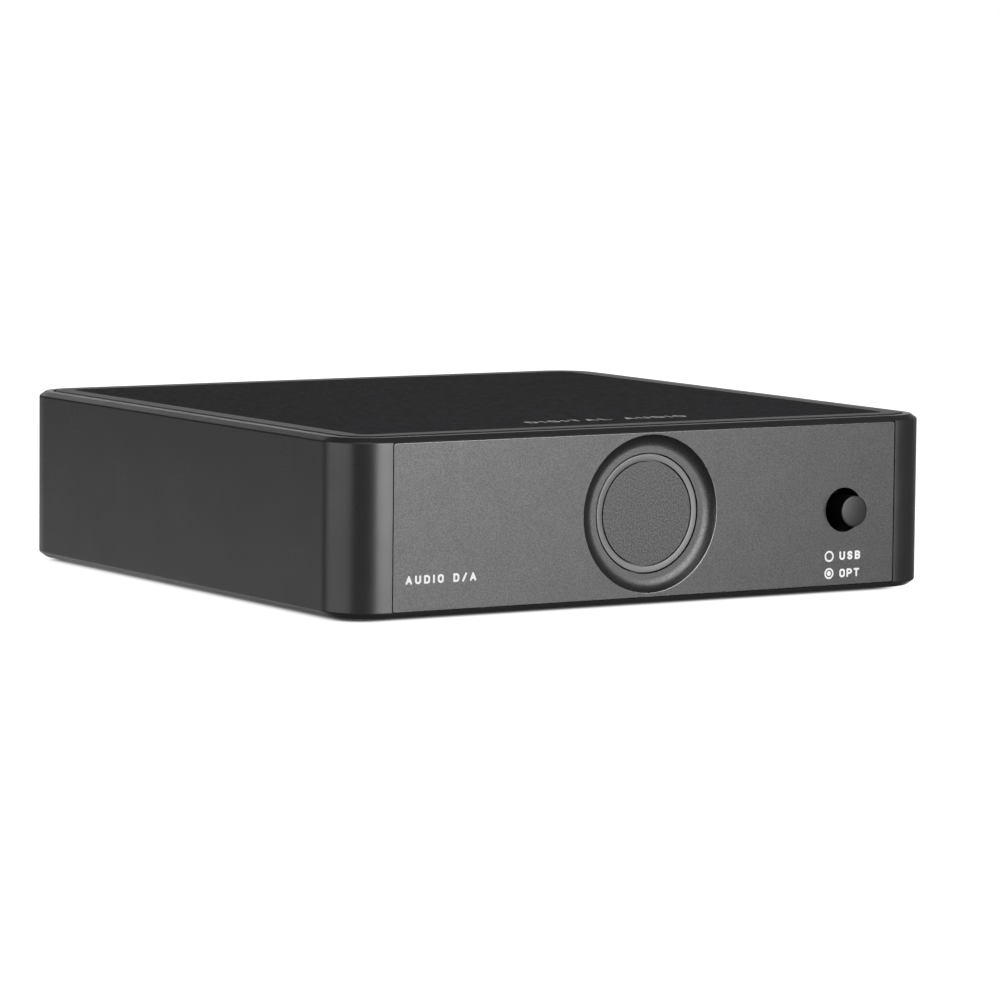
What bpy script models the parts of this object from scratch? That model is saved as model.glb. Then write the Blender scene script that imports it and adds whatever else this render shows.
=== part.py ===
"""Desktop digital-to-analogue converter: a low metal case, its sockets, input button and electronics.

Metres, +Z up. +X is the right-hand side as a listener faces the front, and the front looks along -Y.
The origin lies under the middle of the whole object, on the surface that the feet stand on.
"""

import math

import bmesh
import bpy
from mathutils import Vector

MM = 0.001

# The case
WIDTH = 139.7 * MM
DEPTH = 137.2 * MM
HEIGHT = 35.56 * MM
FOOT_PROUD = 0.8 * MM
CORNER = 10.0 * MM
TOP_CHAMFER = (1.3 * MM, 1.0 * MM)
BASE_CHAMFER = (1.5 * MM, 1.3 * MM)
RIM = 1.6 * MM
WALL = 4.2 * MM
FLOOR = 2.4 * MM
COVER = 1.4 * MM
COVER_BORDER = 3.6 * MM
FIELD_SLOPE = 0.35 * MM
FIELD_RISE = 0.1 * MM

# Clearances: between pieces that touch inside, and round the pieces that lie in the outer skin
PLAY = 0.3 * MM
SEAM = 0.15 * MM
GROOVE = 0.5 * MM

# How far the input button stands out in front, and the phono sockets behind
BUTTON_PROUD = 3.8 * MM
JACK_PROUD = 8.2 * MM

# Front and rear panels: a thin flange in a pocket, and a thick pad through a window behind it
PANEL_HALF = 59.4 * MM
PANEL_LIP = 0.05 * MM
PANEL_EDGE = 0.1 * MM
FLANGE = 0.8 * MM
PANEL_THICK = 4.8 * MM
WINDOW_HALF = 52.6 * MM
WINDOW_MARGIN = 3.4 * MM

# The round dish in the front panel and the blank that fills it
DISH_HEIGHT = 18.08 * MM
DISH_RADIUS = 15.7 * MM
DISH_DEPTH = 1.4 * MM
DISH_SWEEP = 3.0 * MM
DISH_BACKING = [(15.95 * MM, 1.8 * MM), (14.9 * MM, 2.7 * MM)]
DIAL_RADIUS = 11.9 * MM
DIAL_GAP = 0.22 * MM
DIAL_EDGE = 0.15 * MM
DIAL_SETBACK = 1.45 * MM
DIAL_THICK = 1.3 * MM
INLAY_RADIUS = 10.38 * MM
INLAY_GAP = 0.22 * MM
INLAY_THICK = 0.4 * MM

# The input button and its switch
BUTTON_X = 47.0 * MM
BUTTON_HEIGHT = 16.85 * MM
BUTTON_HOLE = 4.45 * MM
BUTTON_RADIUS = 3.15 * MM
BUTTON_TRAVEL = 2.5 * MM
BUTTON_LENGTH = 9.8 * MM
BUTTON_EDGE = 0.25 * MM
BUTTON_WEB = 0.4 * MM
SWITCH_SETBACK = 13.5 * MM
SWITCH_SIZE = (8.6 * MM, 17.0 * MM, 8.8 * MM)
STEM = 3.6 * MM
STEM_BORE = 4.6 * MM
STEM_REACH = 8.0 * MM
COLLAR = 1.2 * MM
COLLAR_SIZE = 6.4 * MM
SQUARE_CORNER = 0.4 * MM
PEG_RADIUS = 1.9 * MM
SPRING_RADIUS = 3.1 * MM
SPRING_WIRE = 0.3 * MM
SPRING_TURNS = 4

# The circuit board, measured up from the underside of the case
BOARD_HALF = 56.0 * MM
BOARD_THICK = 1.6 * MM
BOARD_RISE = 9.8 * MM
BOARD_FRONT_GAP = 8.5 * MM
BOARD_REAR_GAP = 5.8 * MM
BOARD_CORNER = 2.0 * MM

# Sockets on the rear panel, by their X, and how far their faces stand out of it
POWER_X = 44.0 * MM
USB_X = 24.0 * MM
OPTICAL_X = 5.0 * MM
PHONO_X = {"right": -20.0 * MM, "left": -38.0 * MM}
SOCKET_PROUD = 0.5 * MM
CUTOUT_CORNER = 0.6 * MM

# Power socket
POWER_SIZE = (9.0 * MM, 14.0 * MM, 11.0 * MM)
POWER_BORE = 3.2 * MM
POWER_BORE_DEPTH = 9.5 * MM
POWER_PIN = 1.05 * MM
POWER_PIN_TIP = 0.4 * MM
POWER_PIN_SETBACK = 0.8 * MM

# USB socket
USB_SIZE = (12.0 * MM, 16.0 * MM, 10.9 * MM)
USB_MOUTH = (8.6 * MM, 7.9 * MM)
USB_MOUTH_CUT = 1.6 * MM
USB_DEPTH = 9.5 * MM
USB_TONGUE = (5.6 * MM, 3.2 * MM)
USB_TONGUE_SETBACK = 1.2 * MM

# Optical socket and its flap
OPTICAL_SIZE = (9.8 * MM, 13.5 * MM, 9.8 * MM)
OPTICAL_MOUTH = (6.2 * MM, 6.6 * MM)
OPTICAL_DEPTH = 8.6 * MM
FLAP = 0.7 * MM
FLAP_SETBACK = 0.6 * MM

# Phono sockets
PHONO_HOUSING = (31.0 * MM, 9.0 * MM, 12.4 * MM)
PHONO_RISE = 6.4 * MM
PHONO_BARREL = 4.15 * MM
PHONO_WALL = 0.75 * MM
PHONO_TAIL = 6.0 * MM
PHONO_EDGE = 0.25 * MM
PHONO_COLLAR = 6.3 * MM
PHONO_COLLAR_THICK = 1.5 * MM
PHONO_MOUTH = 0.6 * MM
CONTACT_BORE = 1.65 * MM
CONTACT_WALL = 0.4 * MM
CONTACT_SETBACK = 0.8 * MM
CONTACT_ROOT = 4.0 * MM

# Fasteners as (radius, length) pairs, and what they pass through
CASE_SCREW_HEAD = (2.75 * MM, 1.8 * MM)
CASE_SCREW_SHANK = (1.3 * MM, 11.0 * MM)
CASE_COUNTERBORE = 2.2 * MM
BOARD_SCREW_HEAD = (2.4 * MM, 1.5 * MM)
BOARD_SCREW_SHANK = (1.0 * MM, 6.0 * MM)
BOARD_SCREW_INSET = (17.5 * MM, 40.0 * MM)
PANEL_SCREW_HEAD = (2.3 * MM, 1.4 * MM)
PANEL_SCREW_SHANK = (0.9 * MM, 4.0 * MM)
FRONT_SCREW_SHANK = (0.9 * MM, 2.0 * MM)
PANEL_FIX_X = 56.2 * MM
PANEL_PEG = 2.4 * MM
POST_RADIUS = 3.2 * MM
PAD_RADIUS = 4.4 * MM
PAD_HEIGHT = 4.2 * MM
STANDOFF_RADIUS = 3.0 * MM

# Feet
FOOT_RADIUS = 6.0 * MM
FOOT_EDGE = 0.25 * MM
FOOT_RECESS = 0.7 * MM
FOOT_INSET = (20.0 * MM, 21.0 * MM)

# Parts on the board: their sizes, and the X and Y of their middles in millimetres.
# A capacitor is its radius, height and edge; a chip its spot, size in millimetres and legs a side;
# a block its finish, spot, size and edge in millimetres.
CAPACITOR = (5.0 * MM, 15.0 * MM, 0.6 * MM)
CAPACITOR_SPOTS = ((46, 34), (33, 34), (46, 20), (33, 20))
REGULATOR = (10.0 * MM, 4.4 * MM, 9.0 * MM)
REGULATOR_TAB = (10.0 * MM, 1.2 * MM, 14.0 * MM)
REGULATOR_TAB_BACK = 1.2 * MM
REGULATOR_SPOTS = ((44, 6), (29, 6))
CHOKE_FLANGE = (5.0 * MM, 1.0 * MM)
CHOKE_WAIST = (3.6 * MM, 5.0 * MM)
CHOKE_SPOT = (14, 24)
CHIPS = {
    "usb_bridge_chip": ((22, 40), (9.0, 7.0, 1.4), 8),
    "optical_decoder_chip": ((4, 38), (9.6, 4.4, 1.6), 8),
    "converter_chip": ((-8, 10), (10.2, 5.3, 1.8), 10),
    "output_amplifier_right": ((-20, 14), (5.0, 4.0, 1.5), 4),
    "output_amplifier_left": ((-38, 14), (5.0, 4.0, 1.5), 4),
}
LEG_REACH = 1.0 * MM
BLOCKS = {
    "master_clock": ("clock_metal", (6, 4), (7.0, 5.0, 1.6), 0.3),
    "output_relay": ("white_plastic", (-29, 38), (15.0, 7.4, 10.0), 0.5),
    "filter_capacitor_right": ("film_yellow", (-20, 25), (7.2, 5.0, 8.5), 0.6),
    "filter_capacitor_left": ("film_yellow", (-38, 25), (7.2, 5.0, 8.5), 0.6),
}

# How many flats a round shape is given: the dish and its blank, sockets and buttons, hidden fasteners
FINE = 48
MEDIUM = 20
COARSE = 12

# Places worked out from the sizes above
SHIFT = (BUTTON_PROUD - JACK_PROUD) / 2
FRONT = SHIFT - DEPTH / 2
REAR = SHIFT + DEPTH / 2
BASE = FOOT_PROUD
TOP = BASE + HEIGHT
DISH_Z = BASE + DISH_HEIGHT
BUTTON_Z = BASE + BUTTON_HEIGHT
BOARD_BOTTOM = BASE + BOARD_RISE
BOARD_TOP = BOARD_BOTTOM + BOARD_THICK
SEATED = BOARD_TOP + PLAY
PANEL_LOW = BASE + BASE_CHAMFER[1] + PANEL_LIP + SEAM
PANEL_HIGH = TOP - TOP_CHAMFER[1] - PANEL_LIP - SEAM
PANEL_FIX_Z = BASE + HEIGHT / 2
SOCKET_FACE = REAR + SOCKET_PROUD
PHONO_Z = SEATED + PHONO_RISE
CORNER_X = WIDTH / 2 - CORNER
CORNER_Y = DEPTH / 2 - CORNER
CORNERS = {
    "front_left": (-1, -1),
    "front_right": (1, -1),
    "rear_left": (-1, 1),
    "rear_right": (1, 1),
}
SIDES = {"left": -1, "right": 1}

# Colour, roughness and metallic value of each finish
FINISHES = {
    "case_paint": ((0.040, 0.040, 0.043), 0.42, 0.6),
    "cover_paint": ((0.022, 0.021, 0.024), 0.55, 0.5),
    "front_metal": ((0.155, 0.155, 0.160), 0.50, 0.8),
    "dial_metal": ((0.270, 0.270, 0.275), 0.35, 0.9),
    "inlay_metal": ((0.140, 0.140, 0.143), 0.50, 0.8),
    "button_metal": ((0.075, 0.075, 0.077), 0.30, 0.8),
    "black_plastic": ((0.012, 0.012, 0.013), 0.45, 0.0),
    "red_plastic": ((0.450, 0.020, 0.018), 0.40, 0.0),
    "white_plastic": ((0.750, 0.740, 0.720), 0.40, 0.0),
    "socket_metal": ((0.560, 0.550, 0.530), 0.25, 1.0),
    "gold_plate": ((0.720, 0.480, 0.160), 0.25, 1.0),
    "steel": ((0.320, 0.320, 0.330), 0.35, 1.0),
    "rubber": ((0.018, 0.018, 0.018), 0.80, 0.0),
    "board_green": ((0.012, 0.090, 0.040), 0.40, 0.0),
    "chip_black": ((0.015, 0.015, 0.016), 0.50, 0.0),
    "capacitor_sleeve": ((0.020, 0.030, 0.080), 0.35, 0.0),
    "film_yellow": ((0.550, 0.350, 0.030), 0.40, 0.0),
    "clock_metal": ((0.600, 0.600, 0.600), 0.30, 1.0),
}


# ---------------------------------------------------------------- modelling helpers

def finish(name):
    """The named material, made on first use."""
    found = bpy.data.materials.get(name)
    if found:
        return found
    colour, roughness, metallic = FINISHES[name]
    made = bpy.data.materials.new(name)
    made.use_nodes = True
    shader = made.node_tree.nodes["Principled BSDF"]
    shader.inputs["Base Color"].default_value = (*colour, 1.0)
    shader.inputs["Roughness"].default_value = roughness
    shader.inputs["Metallic"].default_value = metallic
    made.diffuse_color = (*colour, 1.0)
    return made


def add(name, shape, look, at=(0, 0, 0), along=(0, 0, 1)):
    """An object from a bmesh, with its local +Z turned to lie along a direction."""
    bmesh.ops.recalc_face_normals(shape, faces=shape.faces)
    mesh = bpy.data.meshes.new(name)
    shape.to_mesh(mesh)
    shape.free()
    mesh.shade_smooth()
    mesh.set_sharp_from_angle(angle=math.radians(35))
    thing = bpy.data.objects.new(name, mesh)
    bpy.context.scene.collection.objects.link(thing)
    thing.location = at
    thing.rotation_euler = Vector((0, 0, 1)).rotation_difference(Vector(along)).to_euler()
    if look:
        mesh.materials.append(finish(look))
    return thing


def rounded(width, height, radius, steps=6, centre=(0, 0)):
    """A rectangle with round corners, anticlockwise, as (u, v) points."""
    points = []
    for quarter, (right, up) in enumerate(((1, 1), (-1, 1), (-1, -1), (1, -1))):
        middle_u = centre[0] + right * (width / 2 - radius)
        middle_v = centre[1] + up * (height / 2 - radius)
        for step in range(steps + 1):
            angle = (quarter + step / steps) * math.pi / 2
            points.append((
                middle_u + radius * math.cos(angle),
                middle_v + radius * math.sin(angle),
            ))
    return points


def skin(sections, across="XY"):
    """A closed shape through outlines of equal point count, each at its own level."""
    place = {
        "XY": lambda u, v, level: (u, v, level),
        "XZ": lambda u, v, level: (u, level, v),
        "YZ": lambda u, v, level: (level, u, v),
    }[across]
    shape = bmesh.new()
    rings = []
    for outline, level in sections:
        rings.append([shape.verts.new(place(u, v, level)) for u, v in outline])
    for lower, upper in zip(rings, rings[1:]):
        count = len(lower)
        for i in range(count):
            j = (i + 1) % count
            shape.faces.new((lower[i], lower[j], upper[j], upper[i]))
    shape.faces.new(rings[0])
    shape.faces.new(rings[-1])
    return shape


def slab(outline, low, high, across="XY"):
    """An outline pulled straight from one level to another."""
    return skin([(outline, low), (outline, high)], across)


def lathe(profile, steps=MEDIUM):
    """A profile of (radius, level) points spun about local Z; it is a ring unless it ends on the axis."""
    shape = bmesh.new()
    points = [shape.verts.new((radius, 0, level)) for radius, level in profile]
    edges = [shape.edges.new(pair) for pair in zip(points, points[1:])]
    if profile[0][0] > 0:
        edges.append(shape.edges.new((points[-1], points[0])))
    origin, axis = (0, 0, 0), (0, 0, 1)
    bmesh.ops.spin(shape, geom=points + edges, cent=origin, axis=axis, angle=math.tau, steps=steps)
    bmesh.ops.remove_doubles(shape, verts=shape.verts, dist=0.001 * MM)
    return shape


def rod(radius, low, high, steps=MEDIUM):
    """A plain cylinder about local Z."""
    return lathe([(0, low), (radius, low), (radius, high), (0, high)], steps)


def combine(thing, others, operation):
    """Keep cutters or lumps as hidden helpers of a live Boolean."""
    for other in others:
        other.hide_render = True
        other.display_type = "WIRE"
        step = thing.modifiers.new(other.name, "BOOLEAN")
        step.operation = operation
        step.object = other


def carve(thing, *cutters):
    combine(thing, cutters, "DIFFERENCE")


def join(thing, *lumps):
    combine(thing, lumps, "UNION")


def soften(thing, width, segments=2):
    """Round the sharp edges of a piece."""
    bevel = thing.modifiers.new("soft edges", "BEVEL")
    bevel.width = width
    bevel.segments = segments
    bevel.limit_method = "ANGLE"
    bevel.angle_limit = math.radians(40)


def block(name, look, size, at, edge=0.0):
    """A box standing on a point, with softened edges."""
    x, y, height = size[0] / 2, size[1] / 2, size[2]
    outline = [(-x, -y), (x, -y), (x, y), (-x, y)]
    thing = add(name, slab(outline, 0, height), look, at)
    if edge:
        soften(thing, edge)
    return thing


def hole_for(shank):
    """The radius of a clear hole for a screw."""
    return shank[0] + PLAY


def screw(name, at, along, head, shank, look="steel"):
    """A socket-head screw; `at` is the middle of its head's outer face, and `along` is where it points."""
    head_radius, head_height = head
    shank_radius, shank_length = shank
    edge = 0.15 * head_radius
    end = head_height + shank_length
    thing = add(name, lathe([
        (0, 0),
        (head_radius - edge, 0),
        (head_radius, edge),
        (head_radius, head_height),
        (shank_radius, head_height),
        (shank_radius, end - edge),
        (shank_radius - edge, end),
        (0, end),
    ], COARSE), look, at, along)
    socket = add(name + "_socket", rod(0.5 * head_radius, -MM, 0.6 * head_height, 6), None, at, along)
    carve(thing, socket)
    return thing


def case_outline(inset):
    """The case's plan, shrunk evenly by an inset."""
    return rounded(WIDTH - 2 * inset, DEPTH - 2 * inset, CORNER - inset, 7, (0, SHIFT))


def corner_spots(inset_x=CORNER, inset_y=CORNER):
    """The four corners' names with the X and Y of a point set in from the case's sides."""
    for corner, (right, back) in CORNERS.items():
        yield corner, right * (WIDTH / 2 - inset_x), SHIFT + back * (DEPTH / 2 - inset_y)


# ---------------------------------------------------------------- case


def panel_rectangle(grow=0.0, radius=0.4 * MM):
    """The panels' outline in X and Z, grown evenly."""
    height = PANEL_HIGH - PANEL_LOW + 2 * grow
    return rounded(2 * (PANEL_HALF + grow), height, radius, 3, (0, (PANEL_HIGH + PANEL_LOW) / 2))


def window_rectangle(shrink=0.0):
    """The windows in the case behind the panels, in X and Z."""
    height = PANEL_HIGH - PANEL_LOW - 2 * (WINDOW_MARGIN + shrink)
    return rounded(2 * (WINDOW_HALF - shrink), height, 2 * MM, 3, (0, (PANEL_HIGH + PANEL_LOW) / 2))


def dish_backing(grow, start, end):
    """The round thickening behind the dish: wide at first, then narrower to clear the cover's seat."""
    (wide, shoulder), (narrow, neck) = DISH_BACKING
    return lathe([
        (0, start),
        (wide + grow, start),
        (wide + grow, shoulder),
        (narrow + grow, neck),
        (narrow + grow, end),
        (0, end),
    ], FINE)


def body_shell():
    shell = add("body_shell", skin([
        (case_outline(BASE_CHAMFER[0]), BASE),
        (case_outline(0), BASE + BASE_CHAMFER[1]),
        (case_outline(0), TOP - TOP_CHAMFER[1]),
        (case_outline(TOP_CHAMFER[0]), TOP),
    ]), "case_paint")
    beyond = 5 * MM
    carve(
        shell,
        add("inside", slab(case_outline(WALL), BASE + FLOOR, TOP + beyond), None),
        add("cover_seat", slab(case_outline(TOP_CHAMFER[0] + RIM), TOP - COVER - PLAY, TOP + beyond), None),
    )
    dish_room = dish_backing(PLAY, -beyond, 2 * beyond)
    carve(shell, add("dish_room", dish_room, None, (0, FRONT, DISH_Z), (0, 1, 0)))
    for end, face, inward in (("front", FRONT, 1), ("rear", REAR, -1)):
        outer = face - inward * beyond
        pocket = slab(panel_rectangle(SEAM), outer, face + inward * (FLANGE + PLAY), "XZ")
        window = slab(window_rectangle(), outer, face + inward * 2 * beyond, "XZ")
        carve(shell, add(end + "_pocket", pocket, None), add(end + "_window", window, None))
        hole = PANEL_PEG + PLAY if end == "front" else hole_for(PANEL_SCREW_SHANK)
        for side, right in SIDES.items():
            spot = (right * PANEL_FIX_X, face, PANEL_FIX_Z)
            fixing = rod(hole, -beyond, beyond, COARSE)
            carve(shell, add(f"{end}_fixing_{side}", fixing, None, spot, (0, inward, 0)))
    for corner, x, y in corner_spots():
        pad = rod(PAD_RADIUS, BASE + MM, BASE + PAD_HEIGHT, COARSE)
        join(shell, add("pad_" + corner, pad, None, (x, y, 0)))
        bore = lathe([
            (0, BASE - beyond),
            (hole_for(CASE_SCREW_HEAD), BASE - beyond),
            (hole_for(CASE_SCREW_HEAD), BASE + CASE_COUNTERBORE),
            (hole_for(CASE_SCREW_SHANK), BASE + CASE_COUNTERBORE),
            (hole_for(CASE_SCREW_SHANK), BASE + beyond),
            (0, BASE + beyond),
        ], COARSE)
        carve(shell, add("case_bore_" + corner, bore, None, (x, y, 0)))
    for corner, x, y in corner_spots(*BOARD_SCREW_INSET):
        post = rod(STANDOFF_RADIUS, BASE + MM, BOARD_BOTTOM - PLAY, COARSE)
        join(shell, add("standoff_" + corner, post, None, (x, y, 0)))
        bore = rod(hole_for(BOARD_SCREW_SHANK), BASE + FLOOR, BOARD_TOP, COARSE)
        carve(shell, add("standoff_bore_" + corner, bore, None, (x, y, 0)))
    for corner, x, y in corner_spots(*FOOT_INSET):
        recess = rod(FOOT_RADIUS + PLAY, BASE - beyond, BASE + FOOT_RECESS)
        carve(shell, add("foot_recess_" + corner, recess, None, (x, y, 0)))


def top_cover():
    edge = TOP_CHAMFER[0] + RIM + GROOVE
    bevel = 0.2 * MM
    field = edge + bevel + COVER_BORDER
    cover = add("top_cover", skin([
        (case_outline(edge), TOP - COVER),
        (case_outline(edge), TOP - bevel),
        (case_outline(edge + bevel), TOP),
        (case_outline(field), TOP),
        (case_outline(field + FIELD_SLOPE), TOP + FIELD_RISE),
    ]), "cover_paint")
    foot_of_post = BASE + PAD_HEIGHT + PLAY
    for corner, x, y in corner_spots():
        post = rod(POST_RADIUS, foot_of_post, TOP - COVER / 2, COARSE)
        join(cover, add("cover_post_" + corner, post, None, (x, y, 0)))
        depth = CASE_SCREW_SHANK[1] + 2 * MM
        bore = rod(hole_for(CASE_SCREW_SHANK), foot_of_post - MM, foot_of_post + depth, COARSE)
        carve(cover, add("cover_bore_" + corner, bore, None, (x, y, 0)))


def panel(name, look, face, inward):
    """A panel: a flange with a broken edge, then the pad that passes through the case's window."""
    return add(name, skin([
        (panel_rectangle(-PANEL_EDGE), face),
        (panel_rectangle(), face + inward * PANEL_EDGE),
        (panel_rectangle(), face + inward * FLANGE),
        (window_rectangle(PLAY), face + inward * FLANGE),
        (window_rectangle(PLAY), face + inward * PANEL_THICK),
    ], "XZ"), look)


def dish_hollow(steps=7):
    """What is cut out for the dish: a concave wall, a flat floor and the blank's seat."""
    reach = math.acos(1 - DISH_DEPTH / DISH_SWEEP)
    foot = DISH_RADIUS - DISH_SWEEP * math.sin(reach)
    profile = [(0, -MM), (DISH_RADIUS, -MM)]
    for step in range(steps + 1):
        angle = reach * (1 - step / steps)
        profile.append((
            foot + DISH_SWEEP * math.sin(angle),
            DISH_DEPTH - DISH_SWEEP * (1 - math.cos(angle)),
        ))
    seat = DIAL_SETBACK + DIAL_THICK + PLAY
    seat_radius = DIAL_RADIUS + DIAL_GAP
    return profile + [(seat_radius, DISH_DEPTH), (seat_radius, seat), (0, seat)]


def front_panel():
    front = panel("front_panel", "front_metal", FRONT, 1)
    backing = dish_backing(0, FLANGE / 2, PANEL_THICK)
    join(front, add("dish_backing", backing, None, (0, FRONT, DISH_Z), (0, 1, 0)))
    carve(front, add("dish", lathe(dish_hollow(), FINE), None, (0, FRONT, DISH_Z), (0, 1, 0)))
    hole = rod(BUTTON_HOLE, -MM, PANEL_THICK + MM, FINE // 2)
    carve(front, add("button_hole", hole, None, (BUTTON_X, FRONT, BUTTON_Z), (0, 1, 0)))
    reach = WALL - PLAY
    for side, right in SIDES.items():
        spot = (right * PANEL_FIX_X, FRONT, PANEL_FIX_Z)
        peg = rod(PANEL_PEG, FLANGE / 2, reach, COARSE)
        join(front, add("panel_peg_" + side, peg, None, spot, (0, 1, 0)))
        bore = rod(hole_for(FRONT_SCREW_SHANK), FLANGE, reach + MM, COARSE)
        carve(front, add("panel_peg_bore_" + side, bore, None, spot, (0, 1, 0)))


def dial():
    """The round blank that closes the dish, and the grained disc let into it."""
    place = (0, FRONT + DIAL_SETBACK, DISH_Z)
    inward = (0, 1, 0)
    add("dial_blank", lathe([
        (0, INLAY_THICK + PLAY),
        (INLAY_RADIUS + INLAY_GAP, INLAY_THICK + PLAY),
        (INLAY_RADIUS + INLAY_GAP, 0),
        (DIAL_RADIUS - DIAL_EDGE, 0),
        (DIAL_RADIUS, DIAL_EDGE),
        (DIAL_RADIUS, DIAL_THICK),
        (0, DIAL_THICK),
    ], FINE), "dial_metal", place, inward)
    add("dial_inlay", rod(INLAY_RADIUS, 0, INLAY_THICK, FINE), "inlay_metal", place, inward)


def feet():
    height = FOOT_PROUD + FOOT_RECESS - PLAY
    for corner, x, y in corner_spots(*FOOT_INSET):
        add("foot_" + corner, lathe([
            (0, 0),
            (FOOT_RADIUS - FOOT_EDGE, 0),
            (FOOT_RADIUS, FOOT_EDGE),
            (FOOT_RADIUS, height),
            (0, height),
        ]), "rubber", (x, y, 0))


def fasteners():
    for corner, x, y in corner_spots():
        place = (x, y, BASE + CASE_COUNTERBORE - CASE_SCREW_HEAD[1] - PLAY)
        screw("case_screw_" + corner, place, (0, 0, 1), CASE_SCREW_HEAD, CASE_SCREW_SHANK)
    for corner, x, y in corner_spots(*BOARD_SCREW_INSET):
        place = (x, y, SEATED + BOARD_SCREW_HEAD[1])
        screw("board_screw_" + corner, place, (0, 0, -1), BOARD_SCREW_HEAD, BOARD_SCREW_SHANK)
    forward = (0, -1, 0)
    for side, right in SIDES.items():
        x = right * PANEL_FIX_X
        place = (x, FRONT + WALL + PLAY + PANEL_SCREW_HEAD[1], PANEL_FIX_Z)
        screw("front_panel_screw_" + side, place, forward, PANEL_SCREW_HEAD, FRONT_SCREW_SHANK)
        place = (x, REAR + PLAY + PANEL_SCREW_HEAD[1], PANEL_FIX_Z)
        look = "black_plastic"
        screw("rear_panel_screw_" + side, place, forward, PANEL_SCREW_HEAD, PANEL_SCREW_SHANK, look)


# ---------------------------------------------------------------- input button

def spring_coil(radius, wire, turns, length, sides=5, per_turn=10):
    """A round wire wound about local Z, closed at both ends."""
    shape = bmesh.new()
    rings = []
    for step in range(turns * per_turn + 1):
        angle = step / per_turn * math.tau
        level = wire + (length - 2 * wire) * step / (turns * per_turn)
        ring = []
        for side in range(sides):
            around = side / sides * math.tau
            reach = radius + wire * math.cos(around)
            ring.append(shape.verts.new((
                reach * math.cos(angle),
                reach * math.sin(angle),
                level + wire * math.sin(around),
            )))
        rings.append(ring)
    for lower, upper in zip(rings, rings[1:]):
        for i in range(sides):
            j = (i + 1) % sides
            shape.faces.new((lower[i], lower[j], upper[j], upper[i]))
    shape.faces.new(rings[0])
    shape.faces.new(rings[-1])
    return shape


def input_switch():
    """The latching switch on the board, its plunger and spring, and the button pushed onto it."""
    inward = (0, 1, 0)
    place = (BUTTON_X, FRONT, BUTTON_Z)
    back = BUTTON_LENGTH - BUTTON_PROUD
    bore = PEG_RADIUS + PLAY
    add("input_button", lathe([
        (0, -BUTTON_PROUD),
        (BUTTON_RADIUS - BUTTON_EDGE, -BUTTON_PROUD),
        (BUTTON_RADIUS, BUTTON_EDGE - BUTTON_PROUD),
        (BUTTON_RADIUS, back),
        (bore, back),
        (bore, BUTTON_WEB),
        (0, BUTTON_WEB),
    ], FINE // 2), "button_metal", place, inward)

    def square(size, radius=SQUARE_CORNER):
        return rounded(size, size, radius, 4)

    peg = square(2 * PEG_RADIUS, PEG_RADIUS)
    collar = square(COLLAR_SIZE)
    stem = square(STEM)
    collar_start = back + PLAY
    collar_end = collar_start + COLLAR
    stem_end = SWITCH_SETBACK + STEM_REACH
    add("switch_plunger", skin([
        (peg, BUTTON_WEB + PLAY),
        (peg, collar_start),
        (collar, collar_start),
        (collar, collar_end),
        (stem, collar_end),
        (stem, stem_end),
    ]), "black_plastic", place, inward)

    room = SWITCH_SETBACK - collar_end - 2 * PLAY
    coil = spring_coil(SPRING_RADIUS, SPRING_WIRE, SPRING_TURNS, room)
    add("switch_spring", coil, "steel", (BUTTON_X, FRONT + collar_end + PLAY, BUTTON_Z), inward)

    middle = (BUTTON_X, FRONT + SWITCH_SETBACK + SWITCH_SIZE[1] / 2, SEATED)
    body = block("switch_body", "black_plastic", SWITCH_SIZE, middle, SQUARE_CORNER)
    end = stem_end + BUTTON_TRAVEL + MM
    hollow = slab(square(STEM_BORE), SWITCH_SETBACK - MM, end)
    carve(body, add("switch_bore", hollow, None, place, inward))


# ---------------------------------------------------------------- sockets on the rear panel


def usb_mouth(width, height, z):
    """The squarish socket outline with its two upper corners cut off, in X and Z."""
    cut = USB_MOUTH_CUT
    half = width / 2
    low, high = z - height / 2, z + height / 2
    return [
        (USB_X - half, low),
        (USB_X + half, low),
        (USB_X + half, high - cut),
        (USB_X + half - cut, high),
        (USB_X - half + cut, high),
        (USB_X - half, high - cut),
    ]


def socket_block(name, look, size, x, edge):
    """A socket's body on the board, with its mouth end standing out of the rear panel."""
    return block(name, look, size, (x, SOCKET_FACE - size[1] / 2, SEATED), edge)


def power_socket():
    face = (POWER_X, SOCKET_FACE, SEATED + POWER_SIZE[2] / 2)
    inward = (0, -1, 0)
    body = socket_block("power_jack", "black_plastic", POWER_SIZE, POWER_X, 0.3 * MM)
    carve(body, add("power_bore", rod(POWER_BORE, -MM, POWER_BORE_DEPTH), None, face, inward))
    add("power_jack_pin", lathe([
        (0, POWER_PIN_SETBACK),
        (POWER_PIN - POWER_PIN_TIP, POWER_PIN_SETBACK),
        (POWER_PIN, POWER_PIN_SETBACK + POWER_PIN_TIP),
        (POWER_PIN, POWER_BORE_DEPTH - PLAY),
        (0, POWER_BORE_DEPTH - PLAY),
    ], COARSE), "socket_metal", face, inward)


def usb_socket():
    z = SEATED + USB_SIZE[2] / 2
    shell = socket_block("usb_shell", "socket_metal", USB_SIZE, USB_X, 0.4 * MM)
    mouth = slab(usb_mouth(*USB_MOUTH, z), SOCKET_FACE - USB_DEPTH, SOCKET_FACE + MM, "XZ")
    carve(shell, add("usb_mouth", mouth, None))
    tongue = rounded(*USB_TONGUE, 0.3 * MM, 2, (USB_X, z))
    start = SOCKET_FACE - USB_DEPTH + PLAY
    end = SOCKET_FACE - USB_TONGUE_SETBACK
    add("usb_tongue", slab(tongue, start, end, "XZ"), "black_plastic")


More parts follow.
